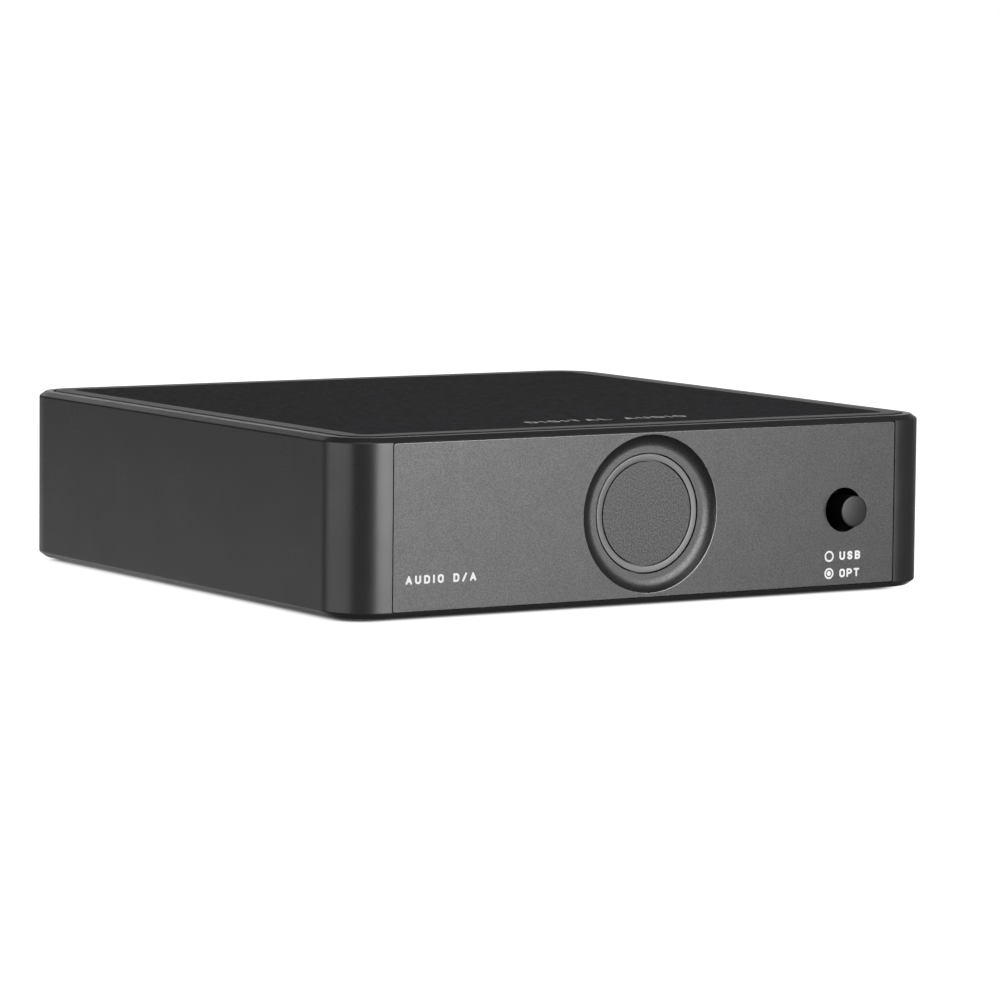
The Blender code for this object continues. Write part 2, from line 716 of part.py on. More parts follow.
def optical_socket():
    """The optical receiver, with a flap hung on a pin across the top of its mouth."""
    width, height = OPTICAL_MOUTH
    z = SEATED + OPTICAL_SIZE[2] / 2
    body = socket_block("optical_receiver", "black_plastic", OPTICAL_SIZE, OPTICAL_X, 0.3 * MM)
    outline = rounded(width, height, 0.5 * MM, 3, (OPTICAL_X, z))
    mouth = slab(outline, SOCKET_FACE - OPTICAL_DEPTH, SOCKET_FACE + MM, "XZ")
    carve(body, add("optical_mouth", mouth, None))
    thick = FLAP / 2
    drop = height - 2 * PLAY - thick - PLAY
    outline = [(-thick, -drop), (thick, -drop)]
    for step in range(7):
        angle = step / 6 * math.pi
        outline.append((thick * math.cos(angle), thick * math.sin(angle)))
    half = width / 2 - PLAY
    hinge = (OPTICAL_X, SOCKET_FACE - FLAP_SETBACK - thick, z + height / 2 - PLAY - thick)
    add("optical_shutter", slab(outline, -half, half, "YZ"), "black_plastic", hinge)


def phono_sockets():
    """Two phono sockets: barrel, coloured collar, insulating core and centre contact in one housing."""
    middle_x = (PHONO_X["left"] + PHONO_X["right"]) / 2
    place = (middle_x, REAR - PANEL_THICK - PLAY - PHONO_HOUSING[1] / 2, SEATED)
    housing = block("phono_housing", "black_plastic", PHONO_HOUSING, place, 0.5 * MM)
    out = (0, 1, 0)
    bore = PHONO_BARREL - PHONO_WALL
    clear = PHONO_BARREL + PLAY
    core = bore - PLAY
    contact = CONTACT_BORE + CONTACT_WALL
    mouth = JACK_PROUD - PHONO_MOUTH
    tip = mouth - CONTACT_SETBACK
    for channel, x in PHONO_X.items():
        face = (x, REAR, PHONO_Z)
        seat = rod(clear, -PANEL_THICK - PHONO_TAIL, MM)
        carve(housing, add("phono_seat_" + channel, seat, None, face, out))
        add("phono_barrel_" + channel, lathe([
            (bore, -PHONO_TAIL),
            (PHONO_BARREL, -PHONO_TAIL),
            (PHONO_BARREL, JACK_PROUD - PHONO_EDGE),
            (PHONO_BARREL - PHONO_EDGE, JACK_PROUD),
            (bore + PHONO_EDGE, JACK_PROUD),
            (bore, JACK_PROUD - PHONO_EDGE),
        ]), "socket_metal", face, out)
        look = "white_plastic" if channel == "left" else "red_plastic"
        add("phono_collar_" + channel, lathe([
            (clear, PLAY),
            (PHONO_COLLAR, PLAY),
            (PHONO_COLLAR, PHONO_COLLAR_THICK - PLAY),
            (PHONO_COLLAR - PLAY, PHONO_COLLAR_THICK),
            (clear, PHONO_COLLAR_THICK),
        ]), look, face, out)
        add("phono_core_" + channel, lathe([
            (0, -PHONO_TAIL),
            (core, -PHONO_TAIL),
            (core, mouth),
            (contact + PLAY, mouth),
            (contact + PLAY, PLAY - CONTACT_ROOT),
            (0, PLAY - CONTACT_ROOT),
        ]), look, face, out)
        add("phono_contact_" + channel, lathe([
            (0, 2 * PLAY - CONTACT_ROOT),
            (contact, 2 * PLAY - CONTACT_ROOT),
            (contact, tip),
            (CONTACT_BORE, tip),
            (CONTACT_BORE, 3 * PLAY - CONTACT_ROOT),
            (0, 3 * PLAY - CONTACT_ROOT),
        ], COARSE), "gold_plate", face, out)


def rear_panel():
    rear = panel("rear_panel", "case_paint", REAR, -1)
    deep = -2 * PANEL_THICK
    for name, x, size in (
        ("power", POWER_X, POWER_SIZE),
        ("usb", USB_X, USB_SIZE),
        ("optical", OPTICAL_X, OPTICAL_SIZE),
    ):
        width, height = size[0] + 2 * PLAY, size[2] + 2 * PLAY
        outline = rounded(width, height, CUTOUT_CORNER, 3, (x, SEATED + size[2] / 2))
        carve(rear, add(name + "_cutout", slab(outline, REAR + deep, REAR + MM, "XZ"), None))
    out = (0, 1, 0)
    for channel, x in PHONO_X.items():
        hole = rod(PHONO_BARREL + PLAY, deep, MM)
        carve(rear, add("phono_hole_" + channel, hole, None, (x, REAR, PHONO_Z), out))
    for side, right in SIDES.items():
        hole = rod(hole_for(PANEL_SCREW_SHANK), deep, MM, COARSE)
        spot = (right * PANEL_FIX_X, REAR, PANEL_FIX_Z)
        carve(rear, add("rear_hole_" + side, hole, None, spot, out))


# ---------------------------------------------------------------- circuit board

def main_board():
    front, rear = FRONT + BOARD_FRONT_GAP, REAR - BOARD_REAR_GAP
    outline = rounded(2 * BOARD_HALF, rear - front, BOARD_CORNER, 4, (0, (front + rear) / 2))
    board = add("main_board", slab(outline, BOARD_BOTTOM, BOARD_TOP), "board_green")
    for corner, x, y in corner_spots(*BOARD_SCREW_INSET):
        hole = rod(hole_for(BOARD_SCREW_SHANK), BOARD_BOTTOM - MM, BOARD_TOP + MM, COARSE)
        carve(board, add("board_hole_" + corner, hole, None, (x, y, 0)))


def on_board(spot):
    """A point on top of the board from its X and Y in millimetres."""
    return (spot[0] * MM, spot[1] * MM, SEATED)


def in_metres(size):
    return tuple(length * MM for length in size)


def chip(name, spot, size, legs):
    """A flat package with a row of legs down each long side."""
    width, depth, height = in_metres(size)
    x, y, z = on_board(spot)
    body = block(name, "chip_black", (width, depth, height), (x, y, z), 0.12 * MM)
    pitch = width / legs
    leg_size = (0.45 * pitch, depth + 2 * LEG_REACH, 0.25 * height)
    for leg in range(legs):
        place = (x - width / 2 + pitch * (leg + 0.5), y, z + 0.3 * height)
        join(body, block(f"{name}_leg_{leg + 1}", None, leg_size, place))


def supply_parts():
    """Smoothing capacitors, regulators and the choke, behind the power socket."""
    radius, height, edge = CAPACITOR
    for number, spot in enumerate(CAPACITOR_SPOTS, 1):
        add(f"supply_capacitor_{number}", lathe([
            (0, 0),
            (radius - edge, 0),
            (radius, edge),
            (radius, height - edge),
            (radius - edge, height),
            (0, height),
        ], COARSE), "capacitor_sleeve", on_board(spot))
    for number, spot in enumerate(REGULATOR_SPOTS, 1):
        x, y, z = on_board(spot)
        body = block(f"voltage_regulator_{number}", "chip_black", REGULATOR, (x, y, z), 0.3 * MM)
        place = (x, y + REGULATOR_TAB_BACK, z + MM)
        join(body, block(f"regulator_tab_{number}", None, REGULATOR_TAB, place))
    flange, flange_thick = CHOKE_FLANGE
    waist, waist_height = CHOKE_WAIST
    shoulder = flange_thick + waist_height
    add("supply_choke", lathe([
        (0, 0),
        (flange, 0),
        (flange, flange_thick),
        (waist, flange_thick),
        (waist, shoulder),
        (flange, shoulder),
        (flange, shoulder + flange_thick),
        (0, shoulder + flange_thick),
    ], COARSE), "chip_black", on_board(CHOKE_SPOT))


def signal_parts():
    """The converter and its neighbours, from the digital inputs to the phono sockets."""
    for name, (spot, size, legs) in CHIPS.items():
        chip(name, spot, size, legs)
    for name, (look, spot, size, edge) in BLOCKS.items():
        block(name, look, in_metres(size), on_board(spot), edge * MM)


# ---------------------------------------------------------------- build

for leftover in list(bpy.data.objects):
    bpy.data.objects.remove(leftover, do_unlink=True)

body_shell()
top_cover()
front_panel()
dial()
rear_panel()
feet()
fasteners()
main_board()
input_switch()
power_socket()
usb_socket()
optical_socket()
phono_sockets()
supply_parts()
signal_parts()
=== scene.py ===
"""Looks for the desktop converter: fine geometry, materials, floor, light and camera round the frame.

Metres, +Z up. The front looks along -Y, and every shape takes its place from the frame's own nodes.
"""

import math

import bmesh
import bpy
from mathutils import Matrix, Vector

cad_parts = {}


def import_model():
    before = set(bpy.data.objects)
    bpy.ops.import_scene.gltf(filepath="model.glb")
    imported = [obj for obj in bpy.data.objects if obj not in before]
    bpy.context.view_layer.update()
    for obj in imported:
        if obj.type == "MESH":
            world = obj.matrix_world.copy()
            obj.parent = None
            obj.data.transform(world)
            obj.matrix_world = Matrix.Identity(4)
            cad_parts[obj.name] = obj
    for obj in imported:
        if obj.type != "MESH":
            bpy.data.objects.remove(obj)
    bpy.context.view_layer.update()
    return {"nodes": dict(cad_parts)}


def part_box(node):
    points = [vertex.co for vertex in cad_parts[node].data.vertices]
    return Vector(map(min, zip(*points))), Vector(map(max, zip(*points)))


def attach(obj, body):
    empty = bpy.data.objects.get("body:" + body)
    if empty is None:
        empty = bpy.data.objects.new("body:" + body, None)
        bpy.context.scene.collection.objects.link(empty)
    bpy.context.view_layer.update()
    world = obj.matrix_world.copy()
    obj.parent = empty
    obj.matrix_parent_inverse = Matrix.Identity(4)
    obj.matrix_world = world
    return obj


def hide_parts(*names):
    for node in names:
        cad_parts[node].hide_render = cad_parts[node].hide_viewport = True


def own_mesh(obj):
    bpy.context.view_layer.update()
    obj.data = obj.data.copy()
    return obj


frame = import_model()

MM = 0.001
NODES = frame["nodes"]
SCENE = bpy.context.scene


def middle_of(node):
    low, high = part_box(node)
    return (low + high) / 2


# Places taken from the frame
CASE_LOW, CASE_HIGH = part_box("body_shell")
COVER_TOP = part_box("top_cover")[1].z
PANEL_LOW, PANEL_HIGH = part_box("front_panel")
PANEL_SIZE = PANEL_HIGH - PANEL_LOW
PANEL_MIDDLE = (0, (PANEL_HIGH.z + PANEL_LOW.z) / 2)
FRONT, REAR = CASE_LOW.y, CASE_HIGH.y
BASE, TOP = CASE_LOW.z, CASE_HIGH.z
MIDDLE_Y = (FRONT + REAR) / 2
DISH = middle_of("dial_inlay")
BUTTON = middle_of("input_button")

# The case's skin
WIDTH = CASE_HIGH.x - CASE_LOW.x
DEPTH = REAR - FRONT
CORNER = 10.0 * MM
TOP_CHAMFER = (1.3 * MM, 1.0 * MM)
BASE_CHAMFER = (1.5 * MM, 1.3 * MM)
RIM = 1.6 * MM
GROOVE = 0.5 * MM
WALL = 4.2 * MM
FLOOR = 2.4 * MM
COVER = 1.4 * MM
COVER_BORDER = 3.6 * MM
BORDER_LIFT = 0.055 * MM
RIM_DROP = 0.085 * MM
UNDERSIDE_LIFT = 0.2 * MM
FIELD_SLOPE = 0.35 * MM
SEAM = 0.15 * MM
PLAY = 0.3 * MM

# The panels
FLANGE = 0.8 * MM
PANEL_THICK = 4.8 * MM
WINDOW_HALF = 52.6 * MM
WINDOW_MARGIN = 3.4 * MM
FIXING_X = 56.2 * MM
FIXING_Z = (BASE + BASE + 35.56 * MM) / 2

# The dish, its blank and the button
DISH_RADIUS = 15.67 * MM
DISH_DEPTH = 1.4 * MM
DISH_SWEEP = 3.0 * MM
DISH_EDGE = 0.12 * MM
DIAL_RADIUS = 11.90 * MM
DIAL_GAP = 0.22 * MM
DIAL_SETBACK = 1.45 * MM
DIAL_THICK = 1.3 * MM
INLAY_RADIUS = 10.38 * MM
INLAY_GAP = 0.22 * MM
INLAY_THICK = 0.4 * MM
BUTTON_HOLE = 4.45 * MM
BUTTON_RADIUS = 3.15 * MM
BUTTON_DOME = 0.11 * MM

# How many flats a round shape is given
SMOOTH = 160
ROUND = 72
SMALL = 40


# ---------------------------------------------------------------- shapes

def rounded(width, height, radius, steps=24, centre=(0, 0)):
    """A rectangle with round corners, anticlockwise, as (u, v) points."""
    points = []
    for quarter, (right, up) in enumerate(((1, 1), (-1, 1), (-1, -1), (1, -1))):
        middle_u = centre[0] + right * (width / 2 - radius)
        middle_v = centre[1] + up * (height / 2 - radius)
        for step in range(steps + 1):
            angle = (quarter + step / steps) * math.pi / 2
            points.append((middle_u + radius * math.cos(angle), middle_v + radius * math.sin(angle)))
    return points


def in_mm(rows):
    """Rows of figures in millimetres, turned into metres."""
    return [tuple(value * MM for value in row) for row in rows]


def eased(corners, steps=4):
    """A line through (u, v, radius) corners, each one rounded off by its radius."""
    points = []
    for i, (u, v, radius) in enumerate(corners):
        here = Vector((u, v))
        if not radius or i in (0, len(corners) - 1):
            points.append((u, v))
            continue
        before = Vector(corners[i - 1][:2]) - here
        after = Vector(corners[i + 1][:2]) - here
        start = here + before.normalized() * min(radius, 0.49 * before.length)
        end = here + after.normalized() * min(radius, 0.49 * after.length)
        for step in range(steps + 1):
            t = step / steps
            points.append(tuple(start * (1 - t) ** 2 + here * 2 * t * (1 - t) + end * t ** 2))
    return points


def skin(sections, across="XY"):
    """A closed shape through outlines of equal point count, each at its own level."""
    place = {
        "XY": lambda u, v, level: (u, v, level),
        "XZ": lambda u, v, level: (u, level, v),
        "YZ": lambda u, v, level: (level, u, v),
    }[across]
    shape = bmesh.new()
    rings = [[shape.verts.new(place(u, v, level)) for u, v in outline] for outline, level in sections]
    wrap(shape, rings)
    return shape


def wrap(shape, rings):
    """Faces from each ring of corners to the next, and one over each end."""
    for lower, upper in zip(rings, rings[1:]):
        for i in range(len(lower)):
            j = (i + 1) % len(lower)
            shape.faces.new((lower[i], lower[j], upper[j], upper[i]))
    shape.faces.new(rings[0])
    shape.faces.new(rings[-1])


def lathe(profile, steps=ROUND):
    """A profile of (radius, level) points spun about local Z: a ring unless it starts on the axis."""
    shape = bmesh.new()
    points = [shape.verts.new((radius, 0, level)) for radius, level in profile]
    edges = [shape.edges.new(pair) for pair in zip(points, points[1:])]
    if profile[0][0] > 0:
        edges.append(shape.edges.new((points[-1], points[0])))
    centre, up = (0, 0, 0), (0, 0, 1)
    bmesh.ops.spin(shape, geom=points + edges, cent=centre, axis=up, angle=math.tau, steps=steps)
    bmesh.ops.remove_doubles(shape, verts=shape.verts, dist=0.0005 * MM)
    return shape


def rod(radius, low, high, steps=ROUND):
    return lathe([(0, low), (radius, low), (radius, high), (0, high)], steps)


def shade(mesh, angle=32):
    mesh.shade_smooth()
    mesh.set_sharp_from_angle(angle=math.radians(angle))


def add(name, shape, look=None, at=(0, 0, 0), along=(0, 0, 1)):
    """An object from a bmesh, with its local +Z turned to lie along a direction."""
    bmesh.ops.recalc_face_normals(shape, faces=shape.faces)
    mesh = bpy.data.meshes.new(name)
    shape.to_mesh(mesh)
    shape.free()
    shade(mesh)
    thing = bpy.data.objects.new(name, mesh)
    SCENE.collection.objects.link(thing)
    thing.location = at
    thing.rotation_euler = Vector((0, 0, 1)).rotation_difference(Vector(along)).to_euler()
    if look:
        mesh.materials.append(look)
    return thing


def carve(thing, cutters, operation="DIFFERENCE"):
    """Cut shapes out of a piece (or join them to it), and keep only the result."""
    for cutter in cutters:
        step = thing.modifiers.new(cutter.name, "BOOLEAN")
        step.operation = operation
        step.object = cutter
        step.material_mode = "TRANSFER"
    settle(thing)
    for cutter in cutters:
        mesh = cutter.data
        bpy.data.objects.remove(cutter)
        bpy.data.meshes.remove(mesh)


def settle(thing):
    """Replace a piece's mesh with what its modifiers make of it."""
    bpy.context.view_layer.update()
    evaluated = thing.evaluated_get(bpy.context.evaluated_depsgraph_get())
    mesh = bpy.data.meshes.new_from_object(evaluated)
    thing.modifiers.clear()
    thing.data = mesh
    shade(mesh)


def even_normals(thing):
    """Let the large flat faces rule the shading beside their rounded edges."""
    weigh = thing.modifiers.new("even normals", "WEIGHTED_NORMAL")
    weigh.keep_sharp = True
    weigh.thresh = 0.0
    return thing


def outline(inset):
    """The case's plan, shrunk evenly by an inset."""
    return rounded(WIDTH - 2 * inset, DEPTH - 2 * inset, CORNER - inset, 24, (0, MIDDLE_Y))


def panel_outline(grow=0.0):
    """The panels' outline in X and Z, grown evenly."""
    return rounded(PANEL_SIZE.x + 2 * grow, PANEL_SIZE.z + 2 * grow, 0.4 * MM, 8, PANEL_MIDDLE)


def window_outline(shrink=0.0):
    height = PANEL_SIZE.z - 2 * (WINDOW_MARGIN + shrink)
    return rounded(2 * (WINDOW_HALF - shrink), height, 2 * MM, 8, PANEL_MIDDLE)


# ---------------------------------------------------------------- materials

def fill(node, values):
    """Set a shader node's inputs by name."""
    for name, value in values.items():
        node.inputs[name].default_value = value
    return node


class Look:
    """A Principled material and the nodes that feed it."""

    def __init__(self, name, colour, roughness, metallic=0.0, specular=0.5):
        self.material = bpy.data.materials.new(name)
        self.material.use_nodes = True
        self.tree = self.material.node_tree
        self.shader = self.tree.nodes["Principled BSDF"]
        self.roughness = roughness
        self.material.diffuse_color = (*colour, 1.0)
        fill(self.shader, {
            "Base Color": (*colour, 1.0),
            "Roughness": roughness,
            "Metallic": metallic,
            "Specular IOR Level": specular,
        })
        self.place = None
        self.normal = None

    def node(self, kind, **settings):
        made = self.tree.nodes.new(kind)
        for key, value in settings.items():
            setattr(made, key, value)
        return made

    def link(self, source, target):
        self.tree.links.new(source, target)

    def where(self, stretch=(1, 1, 1)):
        """The piece's own coordinates, in metres, stretched along its axes."""
        if self.place is None:
            self.place = self.node("ShaderNodeTexCoord").outputs["Object"]
        if stretch == (1, 1, 1):
            return self.place
        mapping = fill(self.node("ShaderNodeMapping"), {"Scale": stretch})
        self.link(self.place, mapping.inputs["Vector"])
        return mapping.outputs["Vector"]

    def noise(self, size, detail=2.0, stretch=(1, 1, 1), rough=0.5):
        """Cloudy noise whose patches are about `size` metres across."""
        made = self.node("ShaderNodeTexNoise")
        fill(made, {"Scale": 1 / size, "Detail": detail, "Roughness": rough})
        self.link(self.where(stretch), made.inputs["Vector"])
        return made.outputs["Fac"]

    def cells(self, size, feature="F1", output="Distance"):
        made = fill(self.node("ShaderNodeTexVoronoi", feature=feature), {"Scale": 1 / size})
        self.link(self.where(), made.inputs["Vector"])
        return made.outputs[output]

    def span(self, value, low, high, start=0.3, end=0.7):
        """A 0 to 1 value stretched to run between two numbers."""
        made = self.node("ShaderNodeMapRange")
        fill(made, {"From Min": start, "From Max": end, "To Min": low, "To Max": high})
        self.link(value, made.inputs["Value"])
        return made.outputs["Result"]

    def sum(self, first, second, operation="ADD"):
        made = self.node("ShaderNodeMath", operation=operation)
        for socket, value in zip(made.inputs, (first, second)):
            if isinstance(value, (int, float)):
                socket.default_value = value
            else:
                self.link(value, socket)
        return made.outputs["Value"]

    def square(self, value):
        return self.sum(value, 2, "POWER")

    def reach(self, first, second):
        """The square of a distance, from its two parts."""
        return self.sum(self.square(first), self.square(second))

    def hand_on(self, source, target):
        """Let one input have what another has now: the node that feeds it, or its value."""
        if source.links:
            self.link(source.links[0].from_socket, target)
        else:
            target.default_value = source.default_value[:len(target.default_value)]

    def tint(self, factor, colour):
        """Mix the colour so far with another by a factor from 0 to 1."""
        mix = self.node("ShaderNodeMix", data_type="RGBA")
        self.link(factor, mix.inputs["Factor"])
        source = self.shader.inputs["Base Color"]
        self.hand_on(source, mix.inputs["A"])
        mix.inputs["B"].default_value = (*colour, 1.0)
        self.link(mix.outputs["Result"], source)
        return self

    def mottle(self, factor, spread):
        """Lighten and darken the colour so far by up to a share."""
        scale = self.span(factor, 1 - spread, 1 + spread)
        mix = self.node("ShaderNodeVectorMath", operation="SCALE")
        source = self.shader.inputs["Base Color"]
        self.hand_on(source, mix.inputs["Vector"])
        self.link(scale, mix.inputs["Scale"])
        self.link(mix.outputs["Vector"], source)
        return self

    def gloss(self, factor, spread):
        """Let the roughness wander either side of its value."""
        wander = self.span(factor, self.roughness - spread, self.roughness + spread)
        self.link(wander, self.shader.inputs["Roughness"])
        return self

    def relief(self, height, depth, strength=1.0):
        """Raise the surface by a height pattern, `depth` metres from lowest to highest."""
        bump = fill(self.node("ShaderNodeBump"), {"Strength": strength, "Distance": depth})
        self.link(height, bump.inputs["Height"])
        if self.normal is not None:
            self.link(self.normal, bump.inputs["Normal"])
        self.normal = bump.outputs["Normal"]
        self.link(self.normal, self.shader.inputs["Normal"])
        return self


def case_paint(name="case_paint", roughness=0.30, grain=0.016 * MM):
    look = Look(name, (0.027, 0.027, 0.028), roughness, specular=0.88)
    look.relief(look.noise(0.22 * MM, 3.0), grain, 0.9)
    look.mottle(look.noise(0.30 * MM), 0.07)
    look.mottle(look.noise(14 * MM, 3.0), 0.05)
    look.gloss(look.noise(9 * MM, 4.0), 0.03)
    return look.material


def border_paint():
    """The smooth, slightly shinier coat on the cover's border."""
    look = Look("cover_paint", (0.021, 0.020, 0.022), 0.38)
    look.relief(look.noise(0.25 * MM, 3.0), 0.006 * MM, 0.6)
    look.mottle(look.noise(0.35 * MM), 0.08)
    return look.material


def field_paint():
    """The pebbled coat of the top."""
    look = Look("field_paint", (0.034, 0.031, 0.036), 0.80, specular=0.15)
    look.relief(look.noise(0.45 * MM, 3.0, rough=0.6), 0.050 * MM, 0.9)
    look.mottle(look.noise(1.5 * MM, 2.0), 0.40)
    look.mottle(look.noise(0.6 * MM, 2.0), 0.40)
    look.mottle(look.noise(22 * MM, 3.0), 0.06)
    specks = look.span(look.noise(1.6 * MM, 2.0), 0.0, 0.6, 0.58, 0.72)
    look.tint(specks, (0.064, 0.054, 0.069))
    return look.material


def front_metal():
    """Blasted and anodised aluminium."""
    look = Look("front_metal", (0.100, 0.100, 0.1005), 0.37, 0.85)
    look.relief(look.noise(0.30 * MM, 3.0, rough=0.65), 0.016 * MM, 0.8)
    look.mottle(look.noise(0.27 * MM, 1.0), 0.24)
    look.mottle(look.noise(7 * MM, 3.0), 0.03)
    look.gloss(look.noise(0.5 * MM, 2.0), 0.04)
    return look.material


def dial_metal():
    """Turned ring, with the faint circles that the tool leaves."""
    look = Look("dial_metal", (0.150, 0.150, 0.151), 0.35, 0.90)
    parts = look.node("ShaderNodeSeparateXYZ")
    look.link(look.where(), parts.inputs["Vector"])
    radius = look.sum(look.reach(parts.outputs["X"], parts.outputs["Y"]), 0.5, "POWER")
    rings = fill(look.node("ShaderNodeTexNoise", noise_dimensions="1D"), {"Scale": 1 / (0.12 * MM)})
    look.link(radius, rings.inputs["W"])
    look.relief(rings.outputs["Fac"], 0.003 * MM, 0.6)
    look.mottle(look.noise(0.35 * MM, 2.0), 0.05)
    return look.material


def inlay_metal():
    look = Look("inlay_metal", (0.104, 0.104, 0.1045), 0.46, 0.85)
    look.relief(look.noise(0.34 * MM, 3.0, rough=0.6), 0.030 * MM, 0.9)
    look.mottle(look.noise(0.31 * MM, 1.0), 0.42)
    look.gloss(look.noise(0.5 * MM, 2.0), 0.06)
    return look.material


def shaded_button_side():
    """The button's side, near black: painted shade for the hole that it stands in."""
    look = Look("shaded_button_side", (0.003, 0.003, 0.003), 0.60, specular=0.05)
    look.relief(look.noise(0.30 * MM, 3.0), 0.010 * MM, 0.6)
    return look.material


def button_metal():
    look = Look("button_metal", (0.050, 0.050, 0.0505), 0.30, 0.55)
    look.relief(look.noise(0.25 * MM, 3.0), 0.006 * MM, 0.6)
    look.mottle(look.noise(0.30 * MM, 2.0), 0.06)
    return look.material


def plastic(name, colour, roughness=0.42, grain=0.3 * MM, depth=0.008 * MM):
    look = Look(name, colour, roughness)
    look.relief(look.noise(grain, 2.0), depth, 0.6)
    look.mottle(look.noise(4 * MM, 3.0), 0.06)
    look.gloss(look.noise(3 * MM, 3.0), 0.05)
    return look.material


def plated(name, colour, roughness=0.22, direction=(1, 1, 1)):
    """Bright plating with faint rolling marks along one direction."""
    look = Look(name, colour, roughness, 1.0)
    look.relief(look.noise(0.25 * MM, 3.0, stretch=direction), 0.004 * MM, 0.6)
    look.mottle(look.noise(2.5 * MM, 3.0), 0.07)
    look.gloss(look.noise(1.2 * MM, 3.0), 0.06)
    return look.material


def rubber():
    look = Look("rubber", (0.016, 0.016, 0.016), 0.82)
    look.relief(look.noise(0.35 * MM, 4.0), 0.04 * MM, 0.8)
    look.mottle(look.noise(1.5 * MM, 3.0), 0.15)
    return look.material


def board_green():
    """Solder mask over copper tracks and plated pads."""
    look = Look("board_green", (0.006, 0.060, 0.026), 0.30)
    tracks = look.node("ShaderNodeTexBrick", offset=0.5, squash=1.0)
    fill(tracks, {"Scale": 1 / (9 * MM), "Mortar Size": 0.03})
    fill(tracks, {"Color1": (0, 0, 0, 1), "Color2": (0, 0, 0, 1), "Mortar": (1, 1, 1, 1)})
    look.link(look.where(), tracks.inputs["Vector"])
    look.tint(tracks.outputs["Fac"], (0.014, 0.120, 0.052))
    pads = look.span(look.cells(5 * MM), 1.0, 0.0, 0.07, 0.11)
    look.tint(pads, (0.50, 0.42, 0.22))
    look.relief(tracks.outputs["Fac"], 0.03 * MM, 0.8)
    look.mottle(look.noise(10 * MM, 3.0), 0.08)
    return look.material


def ink(name, colour, roughness=0.55, metallic=0.0):
    """Printed ink, a touch uneven as screen printing is."""
    look = Look(name, colour, roughness, metallic)
    look.mottle(look.noise(0.20 * MM, 2.0), 0.03)
    look.relief(look.noise(0.15 * MM, 2.0), 0.004 * MM, 0.4)
    return look.material


CASE = case_paint()
BORDER = border_paint()
RIM_LOOK = case_paint("rim_paint", 0.22, 0.006 * MM)
FIELD = field_paint()
PANEL = front_metal()
LIP = plated("lip_metal", (0.20, 0.20, 0.205), 0.26)
RING = dial_metal()
INLAY = inlay_metal()
BUTTON_LOOK = button_metal()
SHADED_BUTTON_SIDE = shaded_button_side()
BLACK = plastic("black_plastic", (0.013, 0.013, 0.014), 0.40)
RED = plastic("red_plastic", (0.42, 0.016, 0.014), 0.34)
WHITE = plastic("white_plastic", (0.72, 0.71, 0.68), 0.36)
NICKEL = plated("socket_metal", (0.60, 0.59, 0.56), 0.24)
GOLD = plated("gold_plate", (0.78, 0.52, 0.18), 0.24)
STEEL = plated("steel", (0.30, 0.30, 0.31), 0.34)
DARK_STEEL = plated("dark_steel", (0.060, 0.060, 0.062), 0.36)
RUBBER = rubber()
BOARD = board_green()
CHIP = plastic("chip_black", (0.018, 0.018, 0.019), 0.52, 0.2 * MM, 0.012 * MM)
SLEEVE = plastic("capacitor_sleeve", (0.012, 0.020, 0.060), 0.30, 0.8 * MM, 0.004 * MM)
FILM = plastic("film_yellow", (0.52, 0.32, 0.03), 0.34)
CLOCK = plated("clock_metal", (0.62, 0.62, 0.61), 0.26)
INK = ink("white_ink", (1.0, 1.0, 1.0))
SILVER = ink("silver_ink", (0.98, 0.98, 0.98), 0.32, 0.85)


# ---------------------------------------------------------------- pieces

def keep(thing, slot, *nodes, body="case"):
    """Hand a finished piece to the frame: what it rides on and what it stands for. The slot, its finish,
    is not used.
    """
    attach(thing, body)
    if nodes:
        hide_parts(*nodes)
    return thing


def corner_points(inset_x, inset_y):
    for corner, (right, back) in {
        "front_left": (-1, -1),
        "front_right": (1, -1),
        "rear_left": (-1, 1),
        "rear_right": (1, 1),
    }.items():
        yield corner, right * (WIDTH / 2 - inset_x), MIDDLE_Y + back * (DEPTH / 2 - inset_y)


def dish_boss(low, high, grow=0.0):
    """The stepped round block that backs the dish, grown evenly for the room that it needs."""
    wide, narrow = 15.95 * MM + grow, 14.9 * MM + grow
    steps = [(wide, low), (wide, 1.8 * MM), (narrow, 2.7 * MM), (narrow, high)]
    return lathe([(0, low), *steps, (0, high)])


